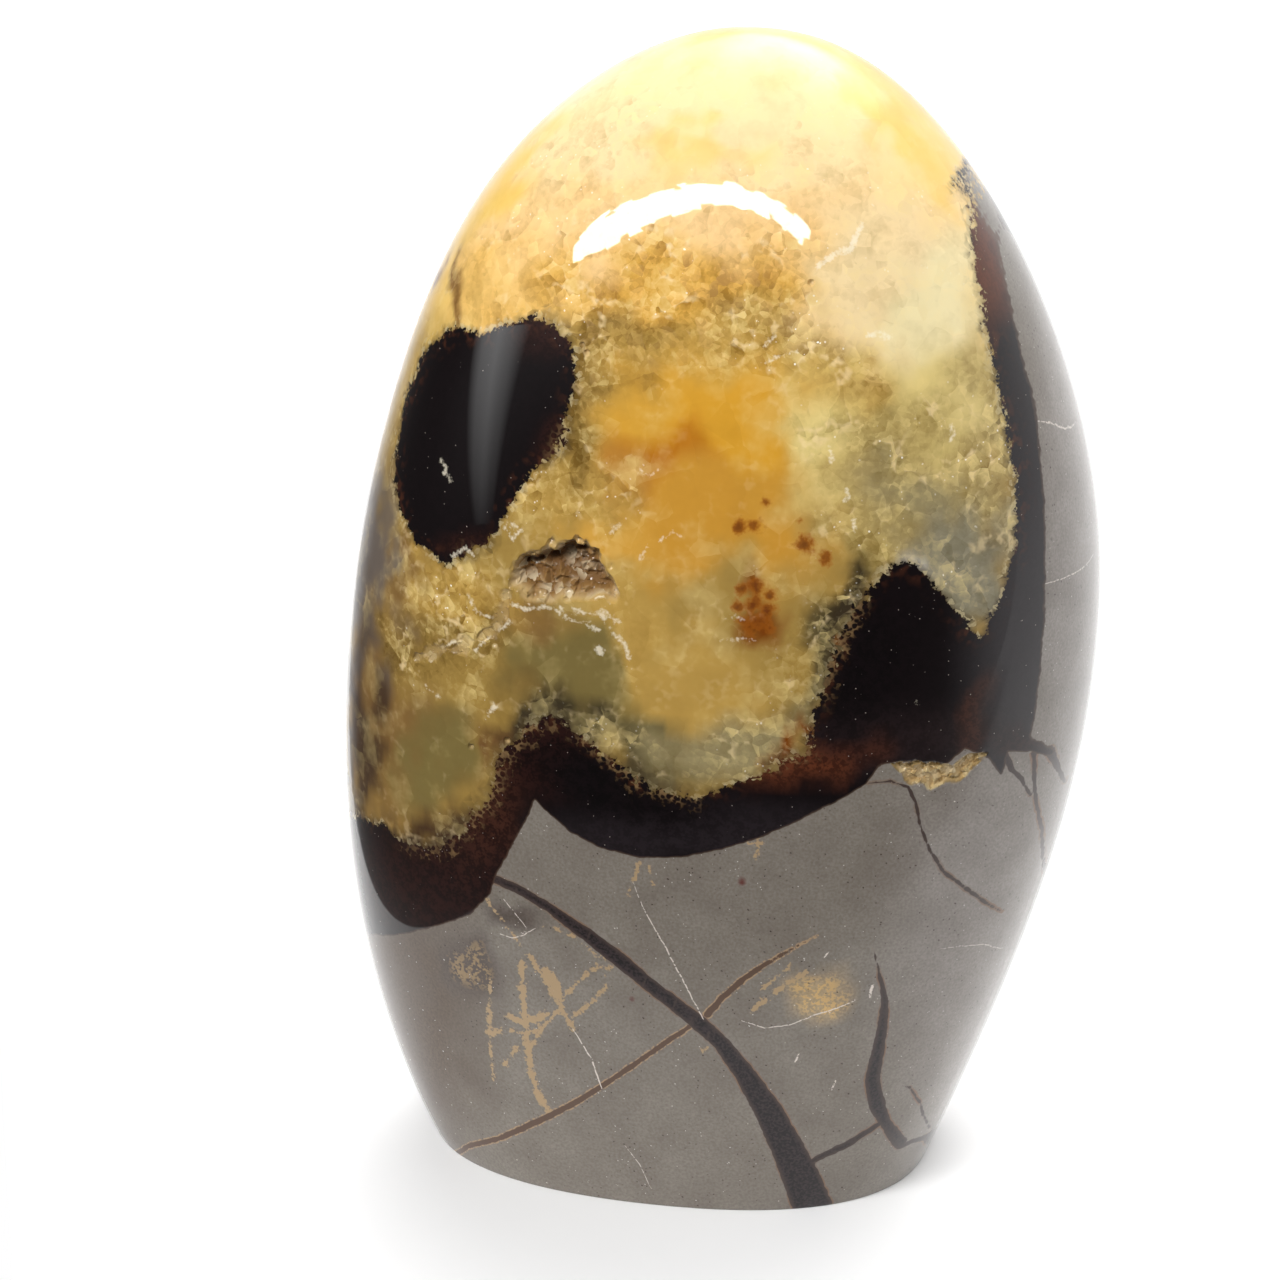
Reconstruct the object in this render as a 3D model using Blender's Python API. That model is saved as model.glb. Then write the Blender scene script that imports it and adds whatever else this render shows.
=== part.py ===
"""Septarian nodule, ground and polished as a free-standing rounded form.

The stone is one solid: its grey marl, its dark aragonite and its yellow calcite grew
together, and one flat cut lets it stand. The calcite has a small open vug, a fissure that
runs out of it and a rough pit, all lined with crystals that belong to the same stone.

Metres, +Z up. The calcite window looks along -Y. The origin lies on the standing plane,
under the middle of the outline.
"""

import math
import random

import bmesh
import bpy
import numpy as np
from mathutils import Vector

MM = 0.001

# Heights of the form: the widest level, the crown above it and the flatter belly below it.
TOTAL_HEIGHT = 180 * MM
WAIST_HEIGHT = 92 * MM
CROWN_SEMI_HEIGHT = TOTAL_HEIGHT - WAIST_HEIGHT
BELLY_SEMI_HEIGHT = 135 * MM

# Front to back, and how far the axis leans to +X over the whole height.
HALF_DEPTH = 38 * MM
LEAN = 9.5 * MM

# Half-widths of the ellipse that the left and right flanks follow at seven heights.
FLANK_HEIGHTS = [0.0, 35 * MM, 70 * MM, 105 * MM, 140 * MM, 165 * MM, 180 * MM]
LEFT_REACH = [55.5 * MM, 59.0 * MM, 58.0 * MM, 55.5 * MM, 55.0 * MM, 55.5 * MM, 53.0 * MM]
RIGHT_REACH = [54.0 * MM, 55.5 * MM, 58.0 * MM, 57.5 * MM, 54.0 * MM, 51.5 * MM, 51.0 * MM]
SHOULDER_FULLNESS = 0.053

# The flat cut that the stone stands on.
BASE_EDGE_ROUNDING = 1.5 * MM
BASE_EDGE_STEPS = 2

# Open vug in the calcite: its rim as (x, z), and how its drusy floor slopes.
VUG_RIM = [
    (-25.0 * MM, 106.5 * MM), (-23.5 * MM, 109.5 * MM), (-18.5 * MM, 111.5 * MM),
    (-16.0 * MM, 113.0 * MM), (-12.5 * MM, 113.0 * MM), (-10.0 * MM, 110.5 * MM),
    (-7.5 * MM, 107.0 * MM), (-8.0 * MM, 104.0 * MM), (-12.0 * MM, 104.0 * MM),
    (-16.0 * MM, 103.0 * MM), (-21.0 * MM, 102.5 * MM), (-24.0 * MM, 104.0 * MM),
]
VUG_DEPTH = 6.0 * MM
VUG_LIP_DEPTH = 2.4 * MM
VUG_LIP_HEIGHT = 101.5 * MM
VUG_ROOF_HEIGHT = 110.0 * MM
VUG_WALL_SLOPE = 2.4
VUG_CRYSTAL_SPACING = 2.6 * MM
VUG_CRYSTAL_RELIEF = 1.7 * MM

# Fissure of crystals that runs from the vug to the left flank, as (x, z).
FISSURE_LINE = [
    (-24.5 * MM, 103.5 * MM), (-26.0 * MM, 98.5 * MM), (-30.5 * MM, 94.5 * MM),
    (-35.5 * MM, 92.0 * MM), (-40.0 * MM, 90.0 * MM),
]
FISSURE_HALF_WIDTH = 1.7 * MM
FISSURE_WIDTH_SWING = 0.35
FISSURE_SWING_LENGTH = 5.5 * MM
FISSURE_DEPTH = 1.7 * MM
FISSURE_CRYSTAL_SPACING = 1.9 * MM
FISSURE_CRYSTAL_RELIEF = 1.1 * MM

# Rough pit where the dark aragonite meets the marl on the right, as (x, z).
PIT_RIM = [
    (32.0 * MM, 80.5 * MM), (36.0 * MM, 81.0 * MM), (40.5 * MM, 79.5 * MM),
    (42.5 * MM, 81.5 * MM), (45.5 * MM, 80.5 * MM), (41.5 * MM, 76.5 * MM),
    (37.5 * MM, 75.8 * MM), (34.0 * MM, 77.5 * MM),
]
PIT_DEPTH = 1.4 * MM
PIT_WALL_SLOPE = 1.6
PIT_CRYSTAL_SPACING = 1.8 * MM
PIT_CRYSTAL_RELIEF = 0.7 * MM

# Mesh fineness: the whole stone, then the extra halvings of the faces near a hollow.
SPHERE_SUBDIVISIONS = 5
HOLLOW_MARGINS = [5.0 * MM, 2.6 * MM, 0.9 * MM]
SHARP_EDGE_ANGLE = math.radians(35)

# Crystals of a druse: their slope, how far each strays from its place in a grid, as a share of
# the spacing, and how deep the lowest tip lies and how far one crystal reaches, in reliefs.
CRYSTAL_FACES = 3
CRYSTAL_SLOPE = 1.25
CRYSTAL_SCATTER = 0.4
CRYSTAL_LOWEST_TIP = 0.5
CRYSTAL_REACH = 3.0
CRYSTAL_SEED = 31

# On the unit sphere: how near the cut a point counts as cut, and which edges are too short, as
# a share of the mean. Only the base face has more sides than BASE_FACE_SIDES.
CUT_TOLERANCE = 1e-6
SHORT_EDGE_SHARE = 0.5
BASE_FACE_SIDES = 8

STONE_COLOUR = (0.235, 0.190, 0.125, 1.0)
STONE_ROUGHNESS = 0.12


# Remove what the file already holds.
for old in list(bpy.data.objects):
    bpy.data.objects.remove(old, do_unlink=True)


# The form.

def curve_through(heights, reaches):
    """Coefficients of the one smooth curve that passes through every station."""
    return np.polyfit(np.array(heights) / TOTAL_HEIGHT, reaches, len(heights) - 1)


LEFT_CURVE = curve_through(FLANK_HEIGHTS, LEFT_REACH)
RIGHT_CURVE = curve_through(FLANK_HEIGHTS, RIGHT_REACH)


def stone_point(direction):
    """Point of the polished surface that a unit direction stands for."""
    level = direction.z
    semi_height = CROWN_SEMI_HEIGHT if level > 0 else BELLY_SEMI_HEIGHT
    height = WAIST_HEIGHT + semi_height * level
    share = height / TOTAL_HEIGHT
    left = float(np.polyval(LEFT_CURVE, share))
    right = float(np.polyval(RIGHT_CURVE, share))
    ring = math.sqrt(max(0.0, 1.0 - level * level))
    angle = math.atan2(direction.y, direction.x)
    across = math.cos(angle)
    along = math.sin(angle)
    fullness = 1.0 + SHOULDER_FULLNESS * math.sin(2.0 * angle) ** 2
    middle = LEAN * (height - WAIST_HEIGHT) / TOTAL_HEIGHT
    half_width = 0.5 * (left + right)
    skew = 0.5 * (right - left)
    x = middle + ring * fullness * (half_width * across + skew * across * across)
    y = ring * fullness * HALF_DEPTH * along
    return Vector((x, y, height))


# The hollows, as depths below the polished surface.

def distance_to_line(x, z, points, closed):
    """Distance from (x, z) to a run of straight stretches."""
    ends = points[1:] + points[:1] if closed else points[1:]
    nearest = math.inf
    for (ax, az), (bx, bz) in zip(points, ends):
        dx = bx - ax
        dz = bz - az
        share = ((x - ax) * dx + (z - az) * dz) / (dx * dx + dz * dz)
        share = min(1.0, max(0.0, share))
        nearest = min(nearest, math.hypot(x - ax - share * dx, z - az - share * dz))
    return nearest


def depth_inside(x, z, rim):
    """Distance to a closed rim, positive inside it and negative outside."""
    inside = False
    for (ax, az), (bx, bz) in zip(rim, rim[1:] + rim[:1]):
        if (az > z) != (bz > z) and x < ax + (z - az) * (bx - ax) / (bz - az):
            inside = not inside
    distance = distance_to_line(x, z, rim, closed=True)
    return distance if inside else -distance


def crystal_tips(points, spacing, relief, rng):
    """Crystals spread over the box around some points: place, tip depth and turn."""
    low_x = min(p[0] for p in points) - spacing
    high_x = max(p[0] for p in points) + spacing
    low_z = min(p[1] for p in points) - spacing
    high_z = max(p[1] for p in points) + spacing
    tips = []
    z = low_z
    while z < high_z:
        x = low_x
        while x < high_x:
            place_x = x + rng.uniform(-CRYSTAL_SCATTER, CRYSTAL_SCATTER) * spacing
            place_z = z + rng.uniform(-CRYSTAL_SCATTER, CRYSTAL_SCATTER) * spacing
            tip_depth = rng.uniform(0.0, CRYSTAL_LOWEST_TIP) * relief
            tips.append((place_x, place_z, tip_depth, rng.uniform(0.0, math.tau)))
            x += spacing
        z += spacing
    return tips


def crystal_depth(x, z, tips, relief):
    """Depth below the tips of a druse: blunt three-faced crystals that lean together."""
    depth = relief
    for tip_x, tip_z, tip_depth, turn in tips:
        dx = x - tip_x
        dz = z - tip_z
        if abs(dx) + abs(dz) > CRYSTAL_REACH * relief:
            continue
        face = max(
            dx * math.cos(turn + math.tau * k / CRYSTAL_FACES)
            + dz * math.sin(turn + math.tau * k / CRYSTAL_FACES)
            for k in range(CRYSTAL_FACES)
        )
        depth = min(depth, tip_depth + CRYSTAL_SLOPE * face)
    return depth


RNG = random.Random(CRYSTAL_SEED)
VUG_TIPS = crystal_tips(VUG_RIM, VUG_CRYSTAL_SPACING, VUG_CRYSTAL_RELIEF, RNG)
FISSURE_TIPS = crystal_tips(FISSURE_LINE, FISSURE_CRYSTAL_SPACING, FISSURE_CRYSTAL_RELIEF, RNG)
PIT_TIPS = crystal_tips(PIT_RIM, PIT_CRYSTAL_SPACING, PIT_CRYSTAL_RELIEF, RNG)


def lined(x, z, depth, tips, relief):
    """Depth of a hollow after its walls and floor are lined with crystals."""
    if depth <= 0.0:
        return 0.0
    growth = relief - crystal_depth(x, z, tips, relief)
    return max(0.0, depth - growth * min(1.0, depth / relief))


def vug_depth(x, z):
    """Steep walls down to a drusy floor that is deepest under the roof."""
    rise = (z - VUG_LIP_HEIGHT) / (VUG_ROOF_HEIGHT - VUG_LIP_HEIGHT)
    rise = min(1.0, max(0.0, rise))
    floor = VUG_LIP_DEPTH + (VUG_DEPTH - VUG_LIP_DEPTH) * rise
    depth = min(VUG_WALL_SLOPE * depth_inside(x, z, VUG_RIM), floor)
    return lined(x, z, depth, VUG_TIPS, VUG_CRYSTAL_RELIEF)


def fissure_depth(x, z):
    """A shallow trough along its line, now wider and now narrower."""
    swing = 1.0 + FISSURE_WIDTH_SWING * math.sin(math.tau * x / FISSURE_SWING_LENGTH)
    distance = distance_to_line(x, z, FISSURE_LINE, closed=False)
    depth = FISSURE_DEPTH * (1.0 - (distance / (FISSURE_HALF_WIDTH * swing)) ** 2)
    return lined(x, z, depth, FISSURE_TIPS, FISSURE_CRYSTAL_RELIEF)


def pit_depth(x, z):
    """A broken-out patch with a low, rough floor."""
    depth = min(PIT_WALL_SLOPE * depth_inside(x, z, PIT_RIM), PIT_DEPTH)
    return lined(x, z, depth, PIT_TIPS, PIT_CRYSTAL_RELIEF)


def hollow_distance(x, z):
    """Distance from (x, z) to the nearest hollow, negative inside one."""
    to_fissure = distance_to_line(x, z, FISSURE_LINE, closed=False) - FISSURE_HALF_WIDTH
    return min(-depth_inside(x, z, VUG_RIM), -depth_inside(x, z, PIT_RIM), to_fissure)


# The mesh, worked on the unit sphere until its faces are fine enough.

def cut_base(bm, level):
    """Cut the sphere off flat, clear away short edges at the cut and close it."""
    everything = bm.verts[:] + bm.edges[:] + bm.faces[:]
    bmesh.ops.bisect_plane(
        bm, geom=everything, dist=CUT_TOLERANCE, plane_co=(0, 0, level), plane_no=(0, 0, 1),
        clear_inner=True
    )
    short = SHORT_EDGE_SHARE * sum(edge.calc_length() for edge in bm.edges) / len(bm.edges)
    ring = [vert for vert in bm.verts if vert.is_boundary]
    bmesh.ops.remove_doubles(bm, verts=ring, dist=short)
    ring = [vert for vert in bm.verts if vert.is_boundary]
    above = [vert for vert in bm.verts if not vert.is_boundary and vert.co.z < level + short]
    doubles = bmesh.ops.find_doubles(bm, verts=ring + above, keep_verts=ring, dist=short)
    bmesh.ops.weld_verts(bm, targetmap=doubles["targetmap"])
    bmesh.ops.triangulate(bm, faces=bm.faces[:])
    lying = [face for face in bm.faces if all(vert.is_boundary for vert in face.verts)]
    bmesh.ops.delete(bm, geom=lying, context="FACES")
    ring = [vert for vert in bm.verts if vert.is_boundary]
    radius = math.sqrt(1.0 - level * level)
    for vert in ring:
        flat = Vector((vert.co.x, vert.co.y)).normalized() * radius
        vert.co = (flat.x, flat.y, level)


def refine_near_hollows(bm, margin):
    """Halve the faces that lie near a hollow, and lift the new points onto the sphere."""
    chosen = set()
    for face in bm.faces:
        centre = face.calc_center_median().normalized()
        point = stone_point(centre)
        if point.y < 0.0 and hollow_distance(point.x, point.z) < margin:
            chosen.update(face.edges)
    made = bmesh.ops.subdivide_edges(bm, edges=list(chosen), cuts=1)
    for item in made["geom_inner"]:
        if isinstance(item, bmesh.types.BMVert):
            item.co.normalize()
    bmesh.ops.triangulate(bm, faces=[face for face in bm.faces if len(face.verts) > 3])


def build_stone():
    """The whole stone as one closed mesh."""
    bm = bmesh.new()
    bmesh.ops.create_icosphere(bm, subdivisions=SPHERE_SUBDIVISIONS, radius=1.0)
    cut_base(bm, -WAIST_HEIGHT / BELLY_SEMI_HEIGHT)
    for margin in HOLLOW_MARGINS:
        refine_near_hollows(bm, margin)
    for vert in bm.verts:
        point = stone_point(vert.co)
        if point.y < 0.0:
            point.y += max(
                vug_depth(point.x, point.z), fissure_depth(point.x, point.z), pit_depth(point.x, point.z)
            )
        vert.co = point
    for vert in bm.verts:
        if vert.is_boundary:
            vert.co.z = 0.0
    rim_edges = [edge for edge in bm.edges if edge.is_boundary]
    bmesh.ops.contextual_create(bm, geom=rim_edges)
    bmesh.ops.bevel(
        bm, geom=rim_edges, offset=BASE_EDGE_ROUNDING, offset_type="OFFSET", segments=BASE_EDGE_STEPS,
        profile=0.5, affect="EDGES", material=-1, clamp_overlap=True
    )
    base = [face for face in bm.faces if len(face.verts) > BASE_FACE_SIDES]
    bmesh.ops.poke(bm, faces=base)
    bmesh.ops.triangulate(bm, faces=bm.faces[:])
    bmesh.ops.recalc_face_normals(bm, faces=bm.faces[:])
    return bm


def centre_over_origin(bm):
    """Move the stone sideways until its outline is centred on the origin."""
    for axis in (0, 1):
        low = min(vert.co[axis] for vert in bm.verts)
        high = max(vert.co[axis] for vert in bm.verts)
        for vert in bm.verts:
            vert.co[axis] -= 0.5 * (low + high)


def polished_stone():
    """One material for the whole stone: warm grey-yellow, hard and glossy."""
    material = bpy.data.materials.new("polished_stone")
    material.use_nodes = True
    shader = material.node_tree.nodes["Principled BSDF"]
    shader.inputs["Base Color"].default_value = STONE_COLOUR
    shader.inputs["Roughness"].default_value = STONE_ROUGHNESS
    shader.inputs["Metallic"].default_value = 0.0
    return material


stone = build_stone()
centre_over_origin(stone)
mesh = bpy.data.meshes.new("nodule")
stone.to_mesh(mesh)
stone.free()
mesh.shade_smooth()
mesh.set_sharp_from_angle(angle=SHARP_EDGE_ANGLE)
mesh.materials.append(polished_stone())
nodule = bpy.data.objects.new("nodule", mesh)
bpy.context.scene.collection.objects.link(nodule)
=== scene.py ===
"""Looks of the polished septarian nodule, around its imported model. Metres, +Z up."""

import math
import random

import bmesh
import bpy
import numpy as np
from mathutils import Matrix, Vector, noise
from mathutils.bvhtree import BVHTree


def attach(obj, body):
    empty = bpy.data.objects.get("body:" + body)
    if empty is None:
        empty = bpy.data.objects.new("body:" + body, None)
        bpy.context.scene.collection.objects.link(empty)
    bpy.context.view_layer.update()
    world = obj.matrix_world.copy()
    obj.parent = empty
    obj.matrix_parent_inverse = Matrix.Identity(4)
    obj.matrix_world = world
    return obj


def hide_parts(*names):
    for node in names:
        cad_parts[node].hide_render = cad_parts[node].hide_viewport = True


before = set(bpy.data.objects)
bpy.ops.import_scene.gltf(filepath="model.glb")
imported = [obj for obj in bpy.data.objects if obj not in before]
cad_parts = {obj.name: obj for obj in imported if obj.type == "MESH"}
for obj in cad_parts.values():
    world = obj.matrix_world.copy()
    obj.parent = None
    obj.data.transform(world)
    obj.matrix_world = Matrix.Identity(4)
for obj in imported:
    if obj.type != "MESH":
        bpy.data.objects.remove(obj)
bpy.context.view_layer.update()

MM = 0.001


# The place to look from: a little to the right of the calcite window and above it. The stone's
# markings are drawn on it from here, as points of a square picture that is 1280 dots wide.

PICTURE_SIZE = 1280
LENS = 120.0
SENSOR = 36.0
LOOK_AT = Vector((-12.15 * MM, 0.0, 83.1 * MM))
LOOK_DISTANCE = 659 * MM
LOOK_DOWN = math.radians(22)
LOOK_FROM_RIGHT = math.radians(12)
DOTS_PER_LENGTH = LENS / SENSOR * PICTURE_SIZE

towards_camera = Vector((
    math.sin(LOOK_FROM_RIGHT) * math.cos(LOOK_DOWN),
    -math.cos(LOOK_FROM_RIGHT) * math.cos(LOOK_DOWN),
    math.sin(LOOK_DOWN),
))
camera_data = bpy.data.cameras.new("camera")
camera_data.lens = LENS
camera_data.sensor_width = SENSOR
camera_data.sensor_height = SENSOR
camera_data.clip_start = 10 * MM
camera = bpy.data.objects.new("camera", camera_data)
camera.location = LOOK_AT + towards_camera * LOOK_DISTANCE
camera.rotation_euler = towards_camera.to_track_quat("Z", "Y").to_euler()
bpy.context.scene.collection.objects.link(camera)
bpy.context.scene.camera = camera
bpy.context.view_layer.update()


# The stone's form: one piece of grey marl, dark aragonite and yellow calcite, ground to an egg
# that leans to the right, flattened from front to back, and sawn off flat to stand.

TOTAL_HEIGHT = 180 * MM
WAIST_HEIGHT = 92 * MM
CROWN_SEMI_HEIGHT = TOTAL_HEIGHT - WAIST_HEIGHT
BELLY_SEMI_HEIGHT = 135 * MM
HALF_DEPTH = 38 * MM
LEAN = 9.5 * MM
FLANK_HEIGHTS = np.array([0.0, 35.0, 70.0, 105.0, 140.0, 165.0, 180.0]) * MM
LEFT_REACH = np.array([55.5, 59.0, 58.0, 55.5, 55.0, 55.5, 53.0]) * MM
RIGHT_REACH = np.array([54.0, 55.5, 58.0, 57.5, 54.0, 51.5, 51.0]) * MM
SHOULDER_FULLNESS = 0.053
SPHERE_SUBDIVISIONS = 7

left_curve = np.polyfit(FLANK_HEIGHTS / TOTAL_HEIGHT, LEFT_REACH, len(FLANK_HEIGHTS) - 1)
right_curve = np.polyfit(FLANK_HEIGHTS / TOTAL_HEIGHT, RIGHT_REACH, len(FLANK_HEIGHTS) - 1)


def stone_points(directions):
    """Points of the polished surface that unit directions stand for."""
    level = directions[:, 2]
    height = WAIST_HEIGHT + np.where(level > 0, CROWN_SEMI_HEIGHT, BELLY_SEMI_HEIGHT) * level
    left = np.polyval(left_curve, height / TOTAL_HEIGHT)
    right = np.polyval(right_curve, height / TOTAL_HEIGHT)
    ring = np.sqrt(np.clip(1.0 - level ** 2, 0.0, 1.0))
    angle = np.arctan2(directions[:, 1], directions[:, 0])
    across = np.cos(angle)
    fullness = ring * (1.0 + SHOULDER_FULLNESS * np.sin(2.0 * angle) ** 2)
    middle = LEAN * (height - WAIST_HEIGHT) / TOTAL_HEIGHT
    x = middle + fullness * (0.5 * (left + right) * across + 0.5 * (right - left) * across ** 2)
    y = fullness * HALF_DEPTH * np.sin(angle)
    return np.stack([x, y, height], axis=1)


def coordinates(verts):
    """Places of vertices as an array."""
    return np.array([tuple(vert.co) for vert in verts])


# It is worked on the unit sphere first, cut off where the standing plane will be.
cut_level = -WAIST_HEIGHT / BELLY_SEMI_HEIGHT
form = bmesh.new()
bmesh.ops.create_icosphere(form, subdivisions=SPHERE_SUBDIVISIONS, radius=1.0)
bmesh.ops.bisect_plane(
    form, geom=form.verts[:] + form.edges[:] + form.faces[:], dist=1e-6,
    plane_co=(0, 0, cut_level), plane_no=(0, 0, 1), clear_inner=True,
)
short = 0.5 * sum(edge.calc_length() for edge in form.edges) / len(form.edges)
rim = [vert for vert in form.verts if vert.is_boundary]
bmesh.ops.remove_doubles(form, verts=rim, dist=short)
rim = [vert for vert in form.verts if vert.is_boundary]
above = [vert for vert in form.verts if not vert.is_boundary and vert.co.z < cut_level + short]
doubles = bmesh.ops.find_doubles(form, verts=rim + above, keep_verts=rim, dist=short)
bmesh.ops.weld_verts(form, targetmap=doubles["targetmap"])
bmesh.ops.triangulate(form, faces=form.faces[:])
lying = [face for face in form.faces if all(vert.is_boundary for vert in face.verts)]
bmesh.ops.delete(form, geom=lying, context="FACES")
for vert in form.verts:
    if vert.is_boundary:
        flat = Vector((vert.co.x, vert.co.y)).normalized() * math.sqrt(1.0 - cut_level ** 2)
        vert.co = (flat.x, flat.y, cut_level)

polished = stone_points(coordinates(form.verts))
centre_shift = -0.5 * (polished.min(axis=0) + polished.max(axis=0)) * np.array([1.0, 1.0, 0.0])

# A bare copy of the polished surface, on which the markings are drawn from the place to look from.
form.verts.index_update()
surface = BVHTree.FromPolygons(
    [Vector(point) for point in polished + centre_shift],
    [[vert.index for vert in face.verts] for face in form.faces],
)


def drawn(picture_points):
    """Picture points as (x, z) on the stone, or on the plane of its outline where they miss it."""
    spots = []
    half = 0.5 * PICTURE_SIZE
    for across, down in picture_points:
        ray = Vector(((across - half) / DOTS_PER_LENGTH, (half - down) / DOTS_PER_LENGTH, -1.0))
        ray = (camera.matrix_world.to_3x3() @ ray).normalized()
        hit, normal, index, distance = surface.ray_cast(camera.location, ray)
        if hit is None:
            hit = camera.location - ray * (camera.location.y / ray.y)
        spots.append((hit.x, hit.z))
    return np.array(spots)


def line_field(places, line, closed=False):
    """For (x, z) places: signed distance to a line, how far along it, and how far past its ends."""
    starts = line if closed else line[:-1]
    ends = np.roll(line, -1, axis=0) if closed else line[1:]
    nearest = np.full(len(places), np.inf)
    side = np.ones(len(places))
    along = np.zeros(len(places))
    beyond = np.zeros(len(places))
    for index, (start, end) in enumerate(zip(starts, ends)):
        run = end - start
        length = np.hypot(*run)
        offset = places - start
        free_share = offset @ run / length ** 2
        share = np.clip(free_share, 0.0, 1.0)
        distance = np.hypot(*(offset - share[:, None] * run).T)
        closer = distance < nearest
        nearest[closer] = distance[closer]
        along[closer] = index + share[closer]
        turn = run[0] * offset[:, 1] - run[1] * offset[:, 0]
        side[closer] = np.where(turn[closer] < 0, -1.0, 1.0)
        past = np.zeros(len(places))
        if index == 0:
            past = np.maximum(past, -free_share * length)
        if index == len(starts) - 1:
            past = np.maximum(past, (free_share - 1.0) * length)
        beyond[closer] = past[closer]
    return nearest * side, along, beyond


def inside_field(places, outline):
    """Distance to a closed outline for (x, z) places, positive inside it."""
    inside = np.zeros(len(places), dtype=bool)
    for start, end in zip(outline, np.roll(outline, -1, axis=0)):
        spans = (start[1] > places[:, 1]) != (end[1] > places[:, 1])
        rise = end[1] - start[1] if end[1] != start[1] else 1e-12
        crossing = start[0] + (places[:, 1] - start[1]) * (end[0] - start[0]) / rise
        inside ^= spans & (places[:, 0] < crossing)
    distance = np.abs(line_field(places, outline, closed=True)[0])
    return np.where(inside, distance, -distance)


# The hollows: an open vug in the calcite, a fissure that runs out of it to the left, a rough pit
# at the marl's edge, and small holes. Crystals of calcite line them, all below the polish.

VUG_RIM = centre_shift[[0, 2]] + MM * np.array([
    (-25.0, 106.5), (-23.5, 109.5), (-21.0, 110.3), (-18.5, 111.5), (-16.0, 113.0), (-12.5, 113.0),
    (-10.0, 110.5), (-7.5, 107.0), (-8.0, 104.0), (-12.0, 104.0), (-16.0, 103.0), (-21.0, 102.5),
    (-24.0, 104.0),
])
VUG_DEPTH = 3.8 * MM
VUG_LIP_DEPTH = 1.8 * MM
VUG_LIP_HEIGHT = 101.5 * MM
VUG_ROOF_HEIGHT = 110.0 * MM
VUG_WALL_SLOPE = 1.5
FISSURE_LINE = centre_shift[[0, 2]] + MM * np.array([
    (-24.5, 103.5), (-26.0, 98.5), (-30.5, 94.5), (-35.5, 92.0), (-40.0, 90.0),
])
FISSURE_HALF_WIDTH = 0.9 * MM
FISSURE_WIDTH_SWING = 0.45
FISSURE_SWING_LENGTH = 5.5 * MM
FISSURE_DEPTH = 0.4 * MM
PIT_RIM = centre_shift[[0, 2]] + MM * np.array([
    (32.0, 80.5), (36.0, 81.0), (40.5, 79.5), (42.5, 81.5), (45.5, 80.5), (41.5, 76.5),
    (37.5, 75.8), (34.0, 77.5),
])
PIT_DEPTH = 1.0 * MM
PIT_WALL_SLOPE = 1.6
SMALL_HOLES = drawn([(811, 283), (582, 345), (587, 353), (471, 747), (507, 741)])
SMALL_HOLE_RADII = np.array([0.5, 0.45, 0.5, 0.55, 0.6]) * MM
SMALL_HOLE_DEPTH = 1.2
RIM_RAGGEDNESS = 1.1 * MM
RIM_RAGGED_SIZE = 1.7 * MM
PIT_RAGGED_SHARE = 0.5

# Each hollow is lined with a coarse and a fine layer of crystals: how far apart, and how tall.
VUG_CRYSTALS = [(2.6 * MM, 1.3 * MM), (0.9 * MM, 0.4 * MM)]
FISSURE_CRYSTALS = [(1.6 * MM, 0.35 * MM), (0.7 * MM, 0.2 * MM)]
PIT_CRYSTALS = [(1.5 * MM, 0.9 * MM), (0.6 * MM, 0.35 * MM)]
CRYSTAL_FACES = 3
CRYSTAL_SLOPE = 1.3
CRYSTAL_JITTER = 0.4
CRYSTAL_SHORTEST = 0.5
CRYSTAL_REACH = 3.0
CRYSTAL_SEED = 31
LEAST_DEPTH = 0.02 * MM

crystal_luck = random.Random(CRYSTAL_SEED)


def druse(places, spacing, relief):
    """Depth below the tips of a druse at (x, z) places: three-faced crystals that lean together."""
    depth = np.full(len(places), relief)
    low = places.min(axis=0) - spacing
    high = places.max(axis=0) + spacing
    for z in np.arange(low[1], high[1], spacing):
        for x in np.arange(low[0], high[0], spacing):
            tip = np.array([x, z]) + spacing * np.array([
                crystal_luck.uniform(-CRYSTAL_JITTER, CRYSTAL_JITTER),
                crystal_luck.uniform(-CRYSTAL_JITTER, CRYSTAL_JITTER),
            ])
            tip_depth = relief * crystal_luck.uniform(0.0, CRYSTAL_SHORTEST)
            turn = crystal_luck.uniform(0.0, math.tau)
            near = np.abs(places - tip).sum(axis=1) < CRYSTAL_REACH * relief
            offset = (places - tip)[near]
            face = np.max([
                offset[:, 0] * math.cos(turn + math.tau * k / CRYSTAL_FACES)
                + offset[:, 1] * math.sin(turn + math.tau * k / CRYSTAL_FACES)
                for k in range(CRYSTAL_FACES)
            ], axis=0)
            depth[near] = np.minimum(depth[near], tip_depth + CRYSTAL_SLOPE * face)
    return depth


def lined(places, depth, layers):
    """Depth of a hollow after its walls and floor are lined with crystals, coarse and fine."""
    for spacing, relief in layers:
        open_here = depth > 0.0
        if open_here.any():
            growth = relief - druse(places[open_here], spacing, relief)
            room = np.minimum(1.0, depth[open_here] / relief)
            depth[open_here] = np.maximum(LEAST_DEPTH, depth[open_here] - growth * room)
    return depth


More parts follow.
